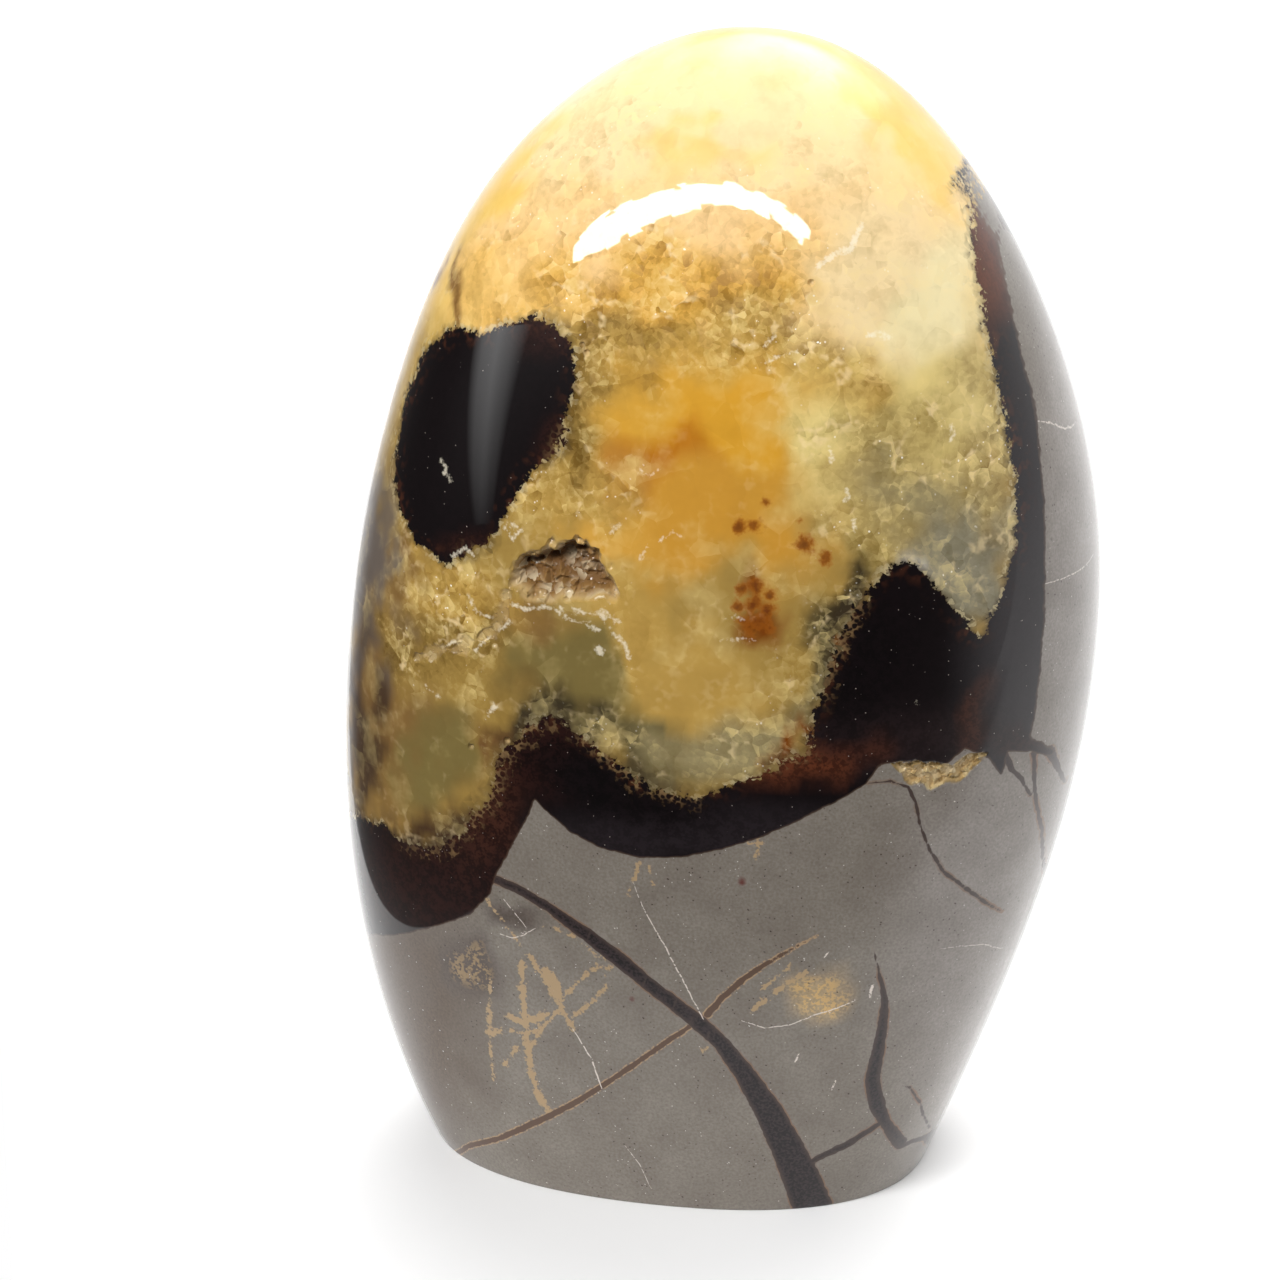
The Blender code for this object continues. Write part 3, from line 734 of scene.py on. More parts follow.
FRONT_CALCITE_PATCHES = [
    # The sun-yellow and cream patches over the top are partly the calcite's pale tone and partly
    # painted light, paler for the glare that falls on the top.
    (SUN, (740, 150), (420, 240), 0, 0.2),
    (CREAM, (700, 130), (240, 90), 0, 0.25),
    (STRAW, (530, 235), (140, 90), 0, 0.3),
    (MILK, (600, 150), (70, 40), -40, 0.5),
    (STRAW, (700, 150), (60, 22), 0, 0.2),
    (MILK, (800, 190), (60, 40), 0, 0.6),
    (PEACH, (700, 225), (280, 50), 0, 0.5),
    (HONEY, (690, 292), (180, 50), 0, 0.85),
    (SUN, (490, 186), (26, 130), 32, 0.1),
    (SUN, (912, 116), (26, 120), -41, 0.1),
    (TAWNY, (458, 292), (11, 34), 0, 0.6),
    (DULL_BRONZE, (600, 350), (50, 45), 0, 1.0),
    (OLIVE_GOLD, (660, 350), (90, 30), 0, 0.9),
    (OLIVE_GOLD, (790, 335), (90, 38), 10, 1.0),
    (BRONZE, (650, 375), (45, 12), 0, 0.9),
    (OLIVE_GOLD, (850, 385), (55, 60), 0, 0.9),
    (MILK, (885, 270), (80, 75), 30, 0.4),
    (PEARL, (945, 325), (48, 85), 0, 0.3),
    (LEMON, (945, 398), (60, 48), 0, 0.15),
    (AMBER, (730, 425), (125, 62), 0, 0.1),
    (CARAMEL, (668, 482), (62, 42), 0, 0.2),
    (GOLD, (715, 505), (70, 40), 0, 0.1),
    (LEMON, (822, 440), (42, 70), 0, 0.5),
    (PALE_OLIVE, (890, 440), (55, 45), 0, 0.8),
    (SAGE, (925, 500), (60, 45), 0, 0.5),
    (PALE_OLIVE, (985, 480), (30, 110), 0, 0.8),
    (GREEN_GREY, (965, 565), (45, 50), 0, 0.5),
    (HONEY, (615, 545), (55, 35), 0, 0.2),
    (GOLD, (730, 548), (110, 50), 0, 0.1),
    (OLIVE_GOLD, (655, 622), (80, 40), 0, 0.1),
    (BRONZE, (740, 622), (80, 50), 0, 0.2),
    (PALE_OLIVE, (850, 545), (50, 42), 0, 0.7),
    (GREEN_GREY, (965, 600), (32, 38), 0, 0.6),
    (BLUE_MILK, (922, 560), (26, 14), 30, 0.5),
    (OLIVE, (575, 662), (92, 48), 24, 0.1),
    (OCHRE, (520, 612), (50, 20), 0, 0.2),
    (DARK_MOSS, (586, 726), (80, 22), 28, 0.2),
    (OLIVE_GOLD, (640, 640), (26, 50), 0, 0.4),
    (OLIVE_GOLD, (700, 690), (70, 45), 0, 0.15),
    (DEEP_OLIVE, (650, 738), (55, 26), 15, 0.2),
    (MOSS, (640, 772), (70, 18), 16, 0.5),
    (SAGE, (705, 758), (65, 35), 0, 0.5),
    (SAGE, (775, 735), (50, 32), 0, 0.6),
    (BRONZE, (790, 680), (30, 50), 0, 0.5),
    (MOSS, (824, 672), (22, 60), 10, 0.6),
    (DARK_MOSS, (530, 714), (40, 14), 0, 0.3),
    (OLIVE_GOLD, (575, 490), (60, 38), 0, 0.7),
    (DULL_BRONZE, (575, 425), (32, 55), 0, 1.0),
    # Partly painted shade: this ochre patch darkens the calcite's left flank, for the shade along
    # that side as well as its own ochre tone.
    (OCHRE, (400, 700), (80, 120), 0, 0.12),
    (OLIVE_GOLD, (460, 600), (60, 30), 0, 0.8),
    (DULL_BRONZE, (440, 645), (60, 28), 0, 1.0),
    (BRONZE, (458, 682), (48, 36), 0, 0.5),
    (OLIVE, (438, 760), (40, 45), 0, 0.2),
    # Partly painted shade: a dark brown strip down the calcite's left edge, for the shade along that
    # side.
    (DARK_BROWN, (358, 735), (20, 120), 0, 0.1),
    (UMBER, (497, 742), (14, 30), 20, 0.5),
    (DARK_BROWN, (430, 842), (75, 24), 0, 0.4),
    # Partly painted reflection: a grey-lilac tint down the calcite's left edge, for the pale sheen of
    # its polish there.
    (SHEEN_LILAC, (370, 560), (26, 95), 0, 0.1),
    (OCHRE, (414, 568), (18, 32), 0, 0.3),
    (DARK_MOSS, (850, 614), (18, 46), 20, 0.7),
    (RUST, (795, 762), (50, 10), -12, 0.6),
    (RUST, (756, 608), (24, 24), 0, 0.4),
]
CALCITE_RAGGEDNESS = 38.0
MARL_RAGGEDNESS = 14.0
RAGGED_SIZE = 8.0 * MM
RAGGED_SEED = 5
PATCH_SOFTNESS = 0.6
BASE_GRAIN = 0.3

MARL_GREY = tone(127, 120, 111)
MARL_BROWN_AND_SHADE = tone(92, 78, 66)
MARL_PALE = tone(142, 135, 129)
MARL_DARK = tone(84, 74, 68)
MARL_TAN = tone(176, 154, 118)
MARL_DUN = tone(113, 104, 95)
FRONT_MARL_PATCHES = [
    # Partly painted shade: the marl's lower left is browner and darker, its own tone together with
    # the shade along that side.
    (MARL_BROWN_AND_SHADE, (400, 1010), (75, 160), 0, 0.0),
    (MARL_PALE, (990, 950), (90, 200), 0, 0.0),
    (MARL_PALE, (1070, 600), (30, 300), 0, 0.0),
    (MARL_DARK, (516, 914), (26, 14), 10, 0.0),
    (MARL_DARK, (470, 965), (25, 30), 0, 0.7),
    (MARL_TAN, (820, 994), (28, 20), -15, 1.0),
]

ARAGONITE = tone(14, 7, 9)
ARAGONITE_GREY = tone(34, 28, 31)
RED_BROWN = tone(92, 48, 28)
MAROON = tone(60, 32, 22)
DARK_RED = tone(40, 18, 14)
DUSK = tone(34, 24, 25)
FRONT_BAND_PATCHES = [
    (ARAGONITE_GREY, (1030, 600), (60, 260), 0, 0.2),
    (ARAGONITE_GREY, (700, 835), (170, 26), 0, 0.5),
    (DARK_RED, (430, 880), (110, 45), 0, 0.9),
    (MAROON, (492, 815), (26, 50), 25, 1.0),
    (DARK_RED, (540, 750), (50, 40), 0, 1.0),
    (ARAGONITE, (620, 785), (90, 26), 20, 1.0),
    (DUSK, (900, 740), (130, 30), 0, 0.5),
    (RED_BROWN, (806, 768), (62, 15), -12, 0.9),
    (MAROON, (975, 720), (14, 40), 20, 0.6),
    (RED_BROWN, (985, 250), (14, 70), -8, 0.3),
    (DARK_RED, (545, 335), (25, 25), 0, 0.7),
    (DARK_RED, (555, 445), (22, 22), 0, 0.8),
    (DARK_RED, (470, 545), (30, 14), 0, 0.8),
    (DARK_RED, (1035, 745), (40, 12), 15, 0.8),
    (ARAGONITE, (850, 650), (50, 80), 0, 0.9),
]
BACK_BAND_PATCHES = [
    (DARK_RED, (-30, 90), (16, 8), 30, 0.7),
    (RED_BROWN, (0, 92), (8, 5), 0, 0.8),
    (DARK_RED, (40, 118), (10, 10), 0, 0.7),
    (ARAGONITE_GREY, (12, 60), (10, 30), 0, 0.3),
]

BACK_CALCITE_PATCHES = [
    (CREAM, (-2, 168), (34, 16), 0, 0.3),
    (AMBER, (-14, 138), (16, 11), 0, 0.1),
    (OLIVE_GOLD, (16, 142), (14, 9), 0, 0.9),
    (SAGE, (34, 138), (14, 10), 0, 0.7),
    (OCHRE, (-38, 104), (12, 16), 0, 0.6),
    (OLIVE, (-50, 76), (10, 12), 0, 0.5),
    (BRONZE, (0, 118), (11, 9), 0, 0.9),
    (OLIVE_GOLD, (3, 82), (6, 16), 0, 0.9),
    (SAGE, (8, 30), (7, 22), 0, 0.8),
    (LEMON, (-30, 128), (12, 10), 0, 0.5),
]
BACK_MARL_PATCHES = [
    (MARL_PALE, (34, 30), (26, 24), 0, 0.0),
    (MARL_DUN, (-36, 18), (18, 14), 0, 0.0),
    (MARL_DUN, (20, 84), (12, 12), 0, 0.0),
]
BACK_RAGGEDNESS = 4.0


def in_picture(points):
    """Where points of the front show in the picture."""
    turn = np.array(camera.matrix_world.to_3x3())
    seen = (points - np.array(camera.location)) @ turn
    half = 0.5 * PICTURE_SIZE
    across = half - DOTS_PER_LENGTH * seen[:, 0] / seen[:, 2]
    down = half + DOTS_PER_LENGTH * seen[:, 1] / seen[:, 2]
    return np.stack([across, down], axis=1)


def laid(places, base, patches, ragged, raggedness):
    """Colour and graininess of places after soft patches are laid on a base, one over another."""
    colours = np.tile(np.append(base, BASE_GRAIN), (len(places), 1))
    wandering = places + raggedness * ragged
    for colour, middle, reach, tilt, grain in patches:
        turn = math.radians(tilt)
        offset = wandering - np.array(middle)
        across = offset @ np.array([math.cos(turn), math.sin(turn)]) / reach[0]
        down = offset @ np.array([-math.sin(turn), math.cos(turn)]) / reach[1]
        away = gentle_step(np.hypot(across, down), 1.0 - PATCH_SOFTNESS, 1.0 + PATCH_SOFTNESS)
        colours += (1.0 - away)[:, None] * (np.append(colour, grain) - colours)
    return colours


def store_colours(name, values):
    """Keep one colour, with its graininess as alpha, for each vertex of the stone."""
    attribute = stone_mesh.attributes.new(name, "FLOAT_COLOR", "POINT")
    attribute.data.foreach_set("color", values.astype(np.float32).ravel())


noise.seed_set(RAGGED_SEED)
ragged = np.array([
    tuple(noise.turbulence_vector(Vector(point) / RAGGED_SIZE, 3, False)) for point in points
])[:, :2]
back = gentle_step(points[:, 1], BACK_STARTS, BACK_IS_WHOLE)[:, None]
picture_places = in_picture(points)
back_places = points[:, [0, 2]] / MM
for name, base, front_patches, back_patches, raggedness in (
    ("calcite_tone", BRONZE, FRONT_CALCITE_PATCHES, BACK_CALCITE_PATCHES, CALCITE_RAGGEDNESS),
    ("marl_tone", MARL_GREY, FRONT_MARL_PATCHES, BACK_MARL_PATCHES, MARL_RAGGEDNESS),
    ("band_tone", ARAGONITE, FRONT_BAND_PATCHES, BACK_BAND_PATCHES, MARL_RAGGEDNESS),
):
    front = laid(picture_places, base, front_patches, ragged, raggedness)
    behind = laid(back_places, base, back_patches, ragged, BACK_RAGGEDNESS)
    store_colours(name, front + (behind - front) * back)
NO_RUST = -1.0
rust = np.full(vertex_count, NO_RUST)
for spot, (middle, reach) in zip(RUST_SPOTS, RUST_DOTS):
    distance = np.hypot(*(points[:, [0, 2]] - spot).T) / MM
    rust = np.maximum(rust, np.where(points[:, 1] < 0.0, reach - distance, NO_RUST))
store("rust_spot", rust)


# The material: clear polish over all of it. Below it the calcite breaks into facets, pale
# cleavage edges and sparkles, the aragonite is brown-black, and the marl is speckled grey.

# Sizes of the clouds, the grains and the facets that make up the pattern.
FINE_CLOUD = 1.3 * MM
BROAD_CLOUD = 7.0 * MM
DUST_CLOUD = 0.42 * MM
CHIP_SIZE = 0.8 * MM
LARGE_FACET = 5.4 * MM
SMALL_FACET = 1.9 * MM
FACET_SLOPE = 1.5
SWAY = (0.7 * MM, 4.0 * MM, -0.6 * MM)

# What a tone is multiplied by, in red, green and blue, to shade it or to light it up.
DEEP_CALCITE = (0.54, 0.48, 0.34)
DEEP_ARAGONITE = (0.34, 0.30, 0.30)
DUSTY_MARL = (0.86, 0.85, 0.84)
BRIGHT_MARL = (1.13, 1.14, 1.15)

CLEAVAGE_GLOW = tone(248, 222, 150)
SPARKLE = tone(255, 250, 238)
RUST_RIM = tone(158, 90, 22)
RUST_HEART = tone(106, 50, 10)
MURK = tone(58, 46, 32)
CRUST_PALE = tone(206, 190, 146)
GLINT_WHITE = tone(248, 238, 214)
BROWN_STAIN = tone(84, 46, 28)
ARAGONITE_SPARK = tone(190, 180, 170)
RIM_BROWN = tone(96, 76, 62)
LACE_BROWN = tone(138, 110, 74)
TAN_SPECK = tone(206, 170, 112)
MARL_SHADE = tone(98, 88, 80)
DARK_DOT = tone(62, 50, 44)
WHITE_DOT = tone(215, 210, 202)
FEATHER_TAN = tone(172, 146, 110)
BORDER_TAN = tone(164, 138, 108)
CRACK_BROWN = tone(92, 72, 60)
BORDER_BROWN = tone(126, 102, 84)
VEIN_RIM = tone(70, 58, 54)
VEIN_DARK = tone(33, 28, 30)
VEIN_GREY = tone(54, 45, 46)
THREAD_WHITE = tone(214, 204, 194)
MARL_RUST = tone(98, 60, 54)
CRYSTAL_BUFF = tone(194, 166, 116)
CRYSTAL_BROWN_AND_SHADE = tone(138, 104, 60)
CRYSTAL_DEEP_AND_SHADE = tone(108, 76, 44)
CRYSTAL_TIP = tone(226, 212, 180)


def new_material(name):
    """A fresh material, its nodes, its links and its shader."""
    fresh = bpy.data.materials.new(name)
    fresh.use_nodes = True
    tree = fresh.node_tree
    return fresh, tree.nodes, tree.links, tree.nodes["Principled BSDF"]


material, nodes, links, shader = new_material("polished_septarian")


# These add to whichever tree the names nodes and links stand for when they are called.
def feed(socket, value):
    """Give a socket a number, a colour or another node's output."""
    if isinstance(value, bpy.types.NodeSocket):
        links.new(value, socket)
    elif isinstance(value, np.ndarray):
        socket.default_value = (*value, 1.0)
    else:
        socket.default_value = value


def kept(name, output="Fac"):
    """A number or colour that the mesh keeps for each vertex."""
    node = nodes.new("ShaderNodeAttribute")
    node.attribute_name = name
    return node.outputs[output]


def arithmetic(operation, *values):
    """One step of arithmetic."""
    node = nodes.new("ShaderNodeMath")
    node.operation = operation
    for socket, value in zip(node.inputs, values):
        feed(socket, value)
    return node.outputs["Value"]


def times(first, second):
    """A product."""
    return arithmetic("MULTIPLY", first, second)


def times_plus(value, factor, base):
    """A value times a factor, added to a base."""
    return arithmetic("MULTIPLY_ADD", value, factor, base)


def vector_arithmetic(operation, *values, output="Vector"):
    """One step of arithmetic on places or directions."""
    node = nodes.new("ShaderNodeVectorMath")
    node.operation = operation
    for socket, value in zip(node.inputs, values):
        feed(socket, value)
    return node.outputs[output]


def scaled(value, low, high, start=0.0, end=1.0, curve="LINEAR"):
    """A value brought from the span low..high to start..end, and held there."""
    node = nodes.new("ShaderNodeMapRange")
    node.interpolation_type = curve
    for name, number in (("From Min", low), ("From Max", high), ("To Min", start), ("To Max", end)):
        feed(node.inputs[name], number)
    feed(node.inputs["Value"], value)
    return node.outputs["Result"]


def mixed(factor, first, second, blend="MIX"):
    """One colour laid over another."""
    node = nodes.new("ShaderNodeMix")
    node.data_type = "RGBA"
    node.blend_type = blend
    feed(node.inputs["Factor"], factor)
    feed(node.inputs["A"], first)
    feed(node.inputs["B"], second)
    return node.outputs["Result"]


def tinted(colour, shares):
    """A colour multiplied by shares of red, green and blue."""
    return mixed(1.0, colour, np.array(shares), "MULTIPLY")


def part_of(colour, channel):
    """One channel of a colour."""
    node = nodes.new("ShaderNodeSeparateColor")
    feed(node.inputs["Color"], colour)
    return node.outputs[channel]


def cloud(places, size):
    """Soft noise whose lumps are about so large."""
    node = nodes.new("ShaderNodeTexNoise")
    feed(node.inputs["Vector"], places)
    node.inputs["Scale"].default_value = 1.0 / size
    node.inputs["Detail"].default_value = 1.0
    return node.outputs["Fac"]


def grains(places, size):
    """Grains about so large: distance from the nearest middle, in sizes, chance and the middle."""
    node = nodes.new("ShaderNodeTexVoronoi")
    feed(node.inputs["Vector"], places)
    node.inputs["Scale"].default_value = 1.0 / size
    return node.outputs["Distance"], node.outputs["Color"], node.outputs["Position"]


def facets(places, size):
    """Facets about so large: distance, a colour by chance, and a shade that slopes across each."""
    distance, chance, middle = grains(places, size)
    offset = vector_arithmetic("SUBTRACT", places, middle)
    heading = vector_arithmetic("MULTIPLY_ADD", chance, (1.0 / size,) * 3, (-0.5 / size,) * 3)
    slope = vector_arithmetic("DOT_PRODUCT", offset, heading, output="Value")
    base = arithmetic("SUBTRACT", part_of(chance, "Red"), 0.5)
    return distance, chance, times_plus(slope, FACET_SLOPE, base)


place = nodes.new("ShaderNodeTexCoord").outputs["Object"]

# Clouds at three sizes, and places that waver a little, for edges that look grown.
fine_cloud = cloud(place, FINE_CLOUD)
broad_cloud = cloud(place, BROAD_CLOUD)
dust = cloud(place, DUST_CLOUD)
fine_lift = arithmetic("SUBTRACT", fine_cloud, 0.5)
broad_lift = arithmetic("SUBTRACT", broad_cloud, 0.5)
dust_lift = arithmetic("SUBTRACT", dust, 0.5)
sway = nodes.new("ShaderNodeCombineXYZ")
for socket, lift, reach in zip(sway.inputs, (fine_lift, broad_lift, fine_lift), SWAY):
    feed(socket, times(lift, reach))
wavering = vector_arithmetic("ADD", place, sway.outputs["Vector"])
chip_far, chip_chance = grains(wavering, CHIP_SIZE)[:2]
chip_red = part_of(chip_chance, "Red")
chip_green = part_of(chip_chance, "Green")

# The calcite. Each facet has a shade by chance and grows lighter towards one of its corners.
calcite_tone = kept("calcite_tone", "Color")
grain = kept("calcite_tone", "Alpha")
large_far, _, large_shade = facets(wavering, LARGE_FACET)
small_far, small_chance, small_shade = facets(wavering, SMALL_FACET)
broken = scaled(broad_cloud, 0.42, 0.62, 0.25, 1.0)
small_share = times(scaled(grain, 0.1, 1.0, 0.0, 0.72), broken)
shade = times_plus(large_shade, scaled(grain, 0.0, 1.0, 0.07, 0.30), 0.5)
shade = times_plus(small_shade, small_share, shade)
chip_lift = arithmetic("SUBTRACT", chip_red, 0.5)
shade = times_plus(chip_lift, scaled(grain, 0.2, 1.0, 0.0, 0.42), shade)
shade = times_plus(broad_lift, scaled(grain, 0.0, 1.0, 0.6, 1.1), shade)
shade = times_plus(fine_lift, scaled(grain, 0.0, 1.0, 0.15, 0.50), shade)
shade = times_plus(dust_lift, scaled(grain, 0.2, 1.0, 0.0, 0.36), shade)
deep_share = scaled(grain, 0.1, 0.9, 0.45, 1.0)
deep_tone = mixed(deep_share, calcite_tone, tinted(calcite_tone, DEEP_CALCITE))
pale_tone = mixed(0.5, calcite_tone, CLEAVAGE_GLOW)
calcite_colour = mixed(scaled(shade, 0.0, 0.5), deep_tone, calcite_tone)
calcite_colour = mixed(scaled(shade, 0.5, 1.0), calcite_colour, pale_tone)
edge_line = times(scaled(small_far, 0.60, 0.76, 0.0, 0.8), scaled(broad_cloud, 0.46, 0.60))
edge_line = arithmetic("MAXIMUM", edge_line, scaled(large_far, 0.72, 0.84, 0.0, 0.8))
edge_line = times(edge_line, scaled(fine_cloud, 0.46, 0.62))
edge_line = times(edge_line, scaled(grain, 0.1, 0.8, 0.10, 0.75))
calcite_colour = mixed(edge_line, calcite_colour, CREAM)
spark = scaled(times_plus(dust_lift, 0.25, chip_far), 0.20, 0.14)
spark = times(spark, scaled(chip_green, 0.78, 0.82))
spark_here = times(scaled(grain, 0.2, 0.8), scaled(broad_cloud, 0.47, 0.58))
calcite_colour = mixed(times(spark, spark_here), calcite_colour, SPARKLE)
rust_ground = times_plus(fine_lift, 2.0, kept("rust_spot"))
rust_ground = times_plus(dust_lift, 0.9, rust_ground)
rust_mask = scaled(rust_ground, -0.2, 0.7, 0.0, 0.9)
rust_colour = mixed(scaled(rust_ground, 0.2, 1.3), RUST_RIM, RUST_HEART)
calcite_colour = mixed(rust_mask, calcite_colour, rust_colour)

# The aragonite.
band_tone = kept("band_tone", "Color")
band_grain = kept("band_tone", "Alpha")
near_calcite = scaled(kept("calcite"), -2.6, 0.0)
granular = times(scaled(arithmetic("ADD", fine_cloud, dust), 0.88, 1.12), band_grain)
band_colour = mixed(granular, band_tone, tinted(band_tone, DEEP_ARAGONITE))
brown_patch = times(scaled(fine_cloud, 0.48, 0.66), near_calcite)
brown_patch = times(brown_patch, scaled(broad_cloud, 0.40, 0.60, 0.15, 0.8))
band_colour = mixed(brown_patch, band_colour, BROWN_STAIN)
band_spark = times(scaled(chip_far, 0.12, 0.07), scaled(chip_red, 0.82, 0.84))
band_colour = mixed(times(band_spark, 0.7), band_colour, ARAGONITE_SPARK)

# The marl and what runs through it.
marl_tone = kept("marl_tone", "Color")
marl_grain = kept("marl_tone", "Alpha")
dusty = tinted(marl_tone, DUSTY_MARL)
marl_colour = mixed(scaled(dust, 0.3, 0.7), dusty, tinted(marl_tone, BRIGHT_MARL))
speckle = scaled(arithmetic("ADD", dust, fine_lift), 0.46, 0.58)
tan_speck = times(scaled(marl_grain, 0.55, 0.9), speckle)
marl_colour = mixed(tan_speck, marl_colour, TAN_SPECK)
marl_colour = mixed(scaled(broad_cloud, 0.3, 0.7, 0.0, 0.35), marl_colour, MARL_SHADE)
dark_dot = times(scaled(chip_far, 0.21, 0.12), scaled(chip_red, 0.58, 0.62))
dark_dot = times(dark_dot, scaled(broad_cloud, 0.40, 0.60, 0.25, 0.9))
marl_colour = mixed(dark_dot, marl_colour, DARK_DOT)
white_dot = times(scaled(chip_far, 0.15, 0.09), scaled(chip_green, 0.82, 0.84))
marl_colour = mixed(times(white_dot, 0.8), marl_colour, WHITE_DOT)


def crack_mask(name, wander, wider=0.0, soft=0.05):
    """Where a set of cracks shows, with wandering edges."""
    room = times_plus(fine_lift, wander, kept(name))
    return scaled(arithmetic("ADD", room, wider), -soft, soft)


feather_ground = times_plus(dust_lift, 1.2, kept("feather"))
feather_ground = times_plus(fine_lift, 1.6, feather_ground)
feather_mask = scaled(feather_ground, -0.10, 0.16, 0.0, 0.9)
marl_colour = mixed(feather_mask, marl_colour, FEATHER_TAN)
brown_border = times(crack_mask("brown_crack", 0.5, 0.22), scaled(dust, 0.35, 0.55))
marl_colour = mixed(brown_border, marl_colour, BORDER_TAN)
marl_colour = mixed(crack_mask("brown_crack", 0.4), marl_colour, CRACK_BROWN)
vein_dark = mixed(scaled(dust, 0.40, 0.62), VEIN_DARK, VEIN_GREY)
dark_border = times(crack_mask("dark_crack", 0.5, 0.20), scaled(broad_cloud, 0.40, 0.55))
marl_colour = mixed(dark_border, marl_colour, BORDER_BROWN)
vein_colour = mixed(scaled(kept("dark_crack"), 0.1, 0.7), VEIN_RIM, vein_dark)
marl_colour = mixed(crack_mask("dark_crack", 0.45), marl_colour, vein_colour)
thread_far = arithmetic("ABSOLUTE", times_plus(fine_lift, 0.3, kept("thread_offset")))
thread_room = arithmetic("SUBTRACT", kept("thread_half"), thread_far)
thread_mask = times(scaled(thread_room, -0.04, 0.04), scaled(dust, 0.35, 0.5))
marl_colour = mixed(thread_mask, marl_colour, THREAD_WHITE)
marl_colour = mixed(scaled(kept("rust_spot"), 0.0, 0.5), marl_colour, MARL_RUST)

# How the three meet: crystal teeth between calcite and aragonite, a clean line to the marl.
rough = scaled(band_grain, 0.3, 0.9)
teeth = times_plus(small_shade, scaled(rough, 0.0, 1.0, 0.35, 1.0), kept("calcite"))
teeth = times_plus(fine_lift, scaled(rough, 0.0, 1.0, 1.5, 2.6), teeth)
murk_reach = scaled(rough, 0.0, 1.0, 0.9, 3.2)
murky = arithmetic("SUBTRACT", 1.0, arithmetic("DIVIDE", teeth, murk_reach))
murky = scaled(murky, 0.0, 1.0, 0.0, 0.88)
calcite_colour = mixed(murky, calcite_colour, mixed(0.7, calcite_colour, MURK))
teeth = times_plus(dust_lift, 1.5, teeth)
calcite_mask = scaled(teeth, -0.14, 0.14)
marl_edge = times_plus(fine_lift, 0.5, kept("marl"))
marl_mask = scaled(marl_edge, -0.06, 0.06)
rim_line = times(scaled(marl_edge, -0.32, -0.05), 0.5)
band_colour = mixed(rim_line, band_colour, RIM_BROWN)
crust = times(scaled(teeth, 1.3, 0.2), scaled(chip_red, 0.62, 0.70, 0.0, 0.6))
crust = times(crust, scaled(rough, 0.0, 1.0, 1.0, 0.35))
calcite_colour = mixed(crust, calcite_colour, CRUST_PALE)
lace = times(scaled(chip_far, 0.50, 0.66), scaled(teeth, -2.2, -0.2))
lace = times(lace, scaled(rough, 0.7, 1.0, 0.0, 0.7))
band_colour = mixed(lace, band_colour, LACE_BROWN)
colour = mixed(marl_mask, band_colour, marl_colour)
colour = mixed(calcite_mask, colour, calcite_colour)
# Painted highlights: white strokes where the calcite's cleavage glints, and a few pale crystals.
glint_ground = times_plus(dust_lift, 1.0, kept("glint"))
glint_ground = times_plus(fine_lift, 0.8, glint_ground)
glint_mask = scaled(glint_ground, -0.16, 0.30, 0.0, 0.6)
colour = mixed(glint_mask, colour, GLINT_WHITE)

# The hollows: darker brown deep down, partly their crystals' own brown and partly painted shade in
# the recess; pale and glassy at the crystals' tips.
hollow_here = kept("hollow")
hollow_tone_and_shade = mixed(scaled(hollow_here, 0.6, 2.0), CRYSTAL_BUFF, CRYSTAL_BROWN_AND_SHADE)
hollow_tone_and_shade = mixed(scaled(hollow_here, 2.0, 3.4), hollow_tone_and_shade, CRYSTAL_DEEP_AND_SHADE)
hollow_tone_and_shade = mixed(scaled(small_shade, 0.0, 0.7, 0.0, 0.6), hollow_tone_and_shade, CRYSTAL_TIP)
hollow_tone_and_shade = mixed(scaled(hollow_here, 0.2, 1.0, 0.85, 0.0), hollow_tone_and_shade, calcite_colour)
colour = mixed(scaled(hollow_here, 0.03, 0.3), colour, hollow_tone_and_shade)
feed(shader.inputs["Base Color"], colour)

# The polish follows the stone almost exactly, and the grain below it leans each its own way.
GRAIN_LEAN = 0.35
POLISH_LEAN = 0.014
normal = nodes.new("ShaderNodeNewGeometry").outputs["Normal"]
lean = vector_arithmetic("SUBTRACT", small_chance, (0.5, 0.5, 0.5))


def leaned(share):
    """The stone's own direction outwards, leaned by a share of each grain's own lean."""
    node = nodes.new("ShaderNodeVectorMath")
    node.operation = "SCALE"
    feed(node.inputs[0], lean)
    feed(node.inputs["Scale"], share)
    return vector_arithmetic("NORMALIZE", vector_arithmetic("ADD", normal, node.outputs["Vector"]))


feed(shader.inputs["Normal"], leaned(times(times(calcite_mask, grain), GRAIN_LEAN)))
feed(shader.inputs["Coat Normal"], leaned(times(calcite_mask, POLISH_LEAN)))
for name, number in (
    ("Roughness", 0.38), ("Specular IOR Level", 0.1), ("Coat Weight", 1.0), ("Coat Roughness", 0.03),
    ("Coat IOR", 1.36),
):
    shader.inputs[name].default_value = number
stone_mesh.materials.append(material)
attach(polished_nodule, "root")
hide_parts("nodule")


# The studio: a pale table top, a white room behind and to the right, a dim one in front, a
# bright patch of ceiling behind the stone, and two screens of light that the polish mirrors.

TABLE_FRONT_CORNERS = MM * np.array([(-80, -105), (3000, -105)])
TABLE_REAR_CORNERS = MM * np.array([(-1290, 3000), (3000, 3000)])
TABLE_SHADE_FROM = -62 * MM
TABLE_SHADE_TO = -105 * MM
TABLE_SIDE_FROM = 90 * MM
TABLE_SIDE_TO = 320 * MM
TABLE_TONE = 0.8
TABLE_SHADED_TONE = 0.06
TABLE_GLOW = 0.125
WHITE = (1.0, 1.0, 1.0, 1.0)
BLACK = (0.0, 0.0, 0.0, 1.0)

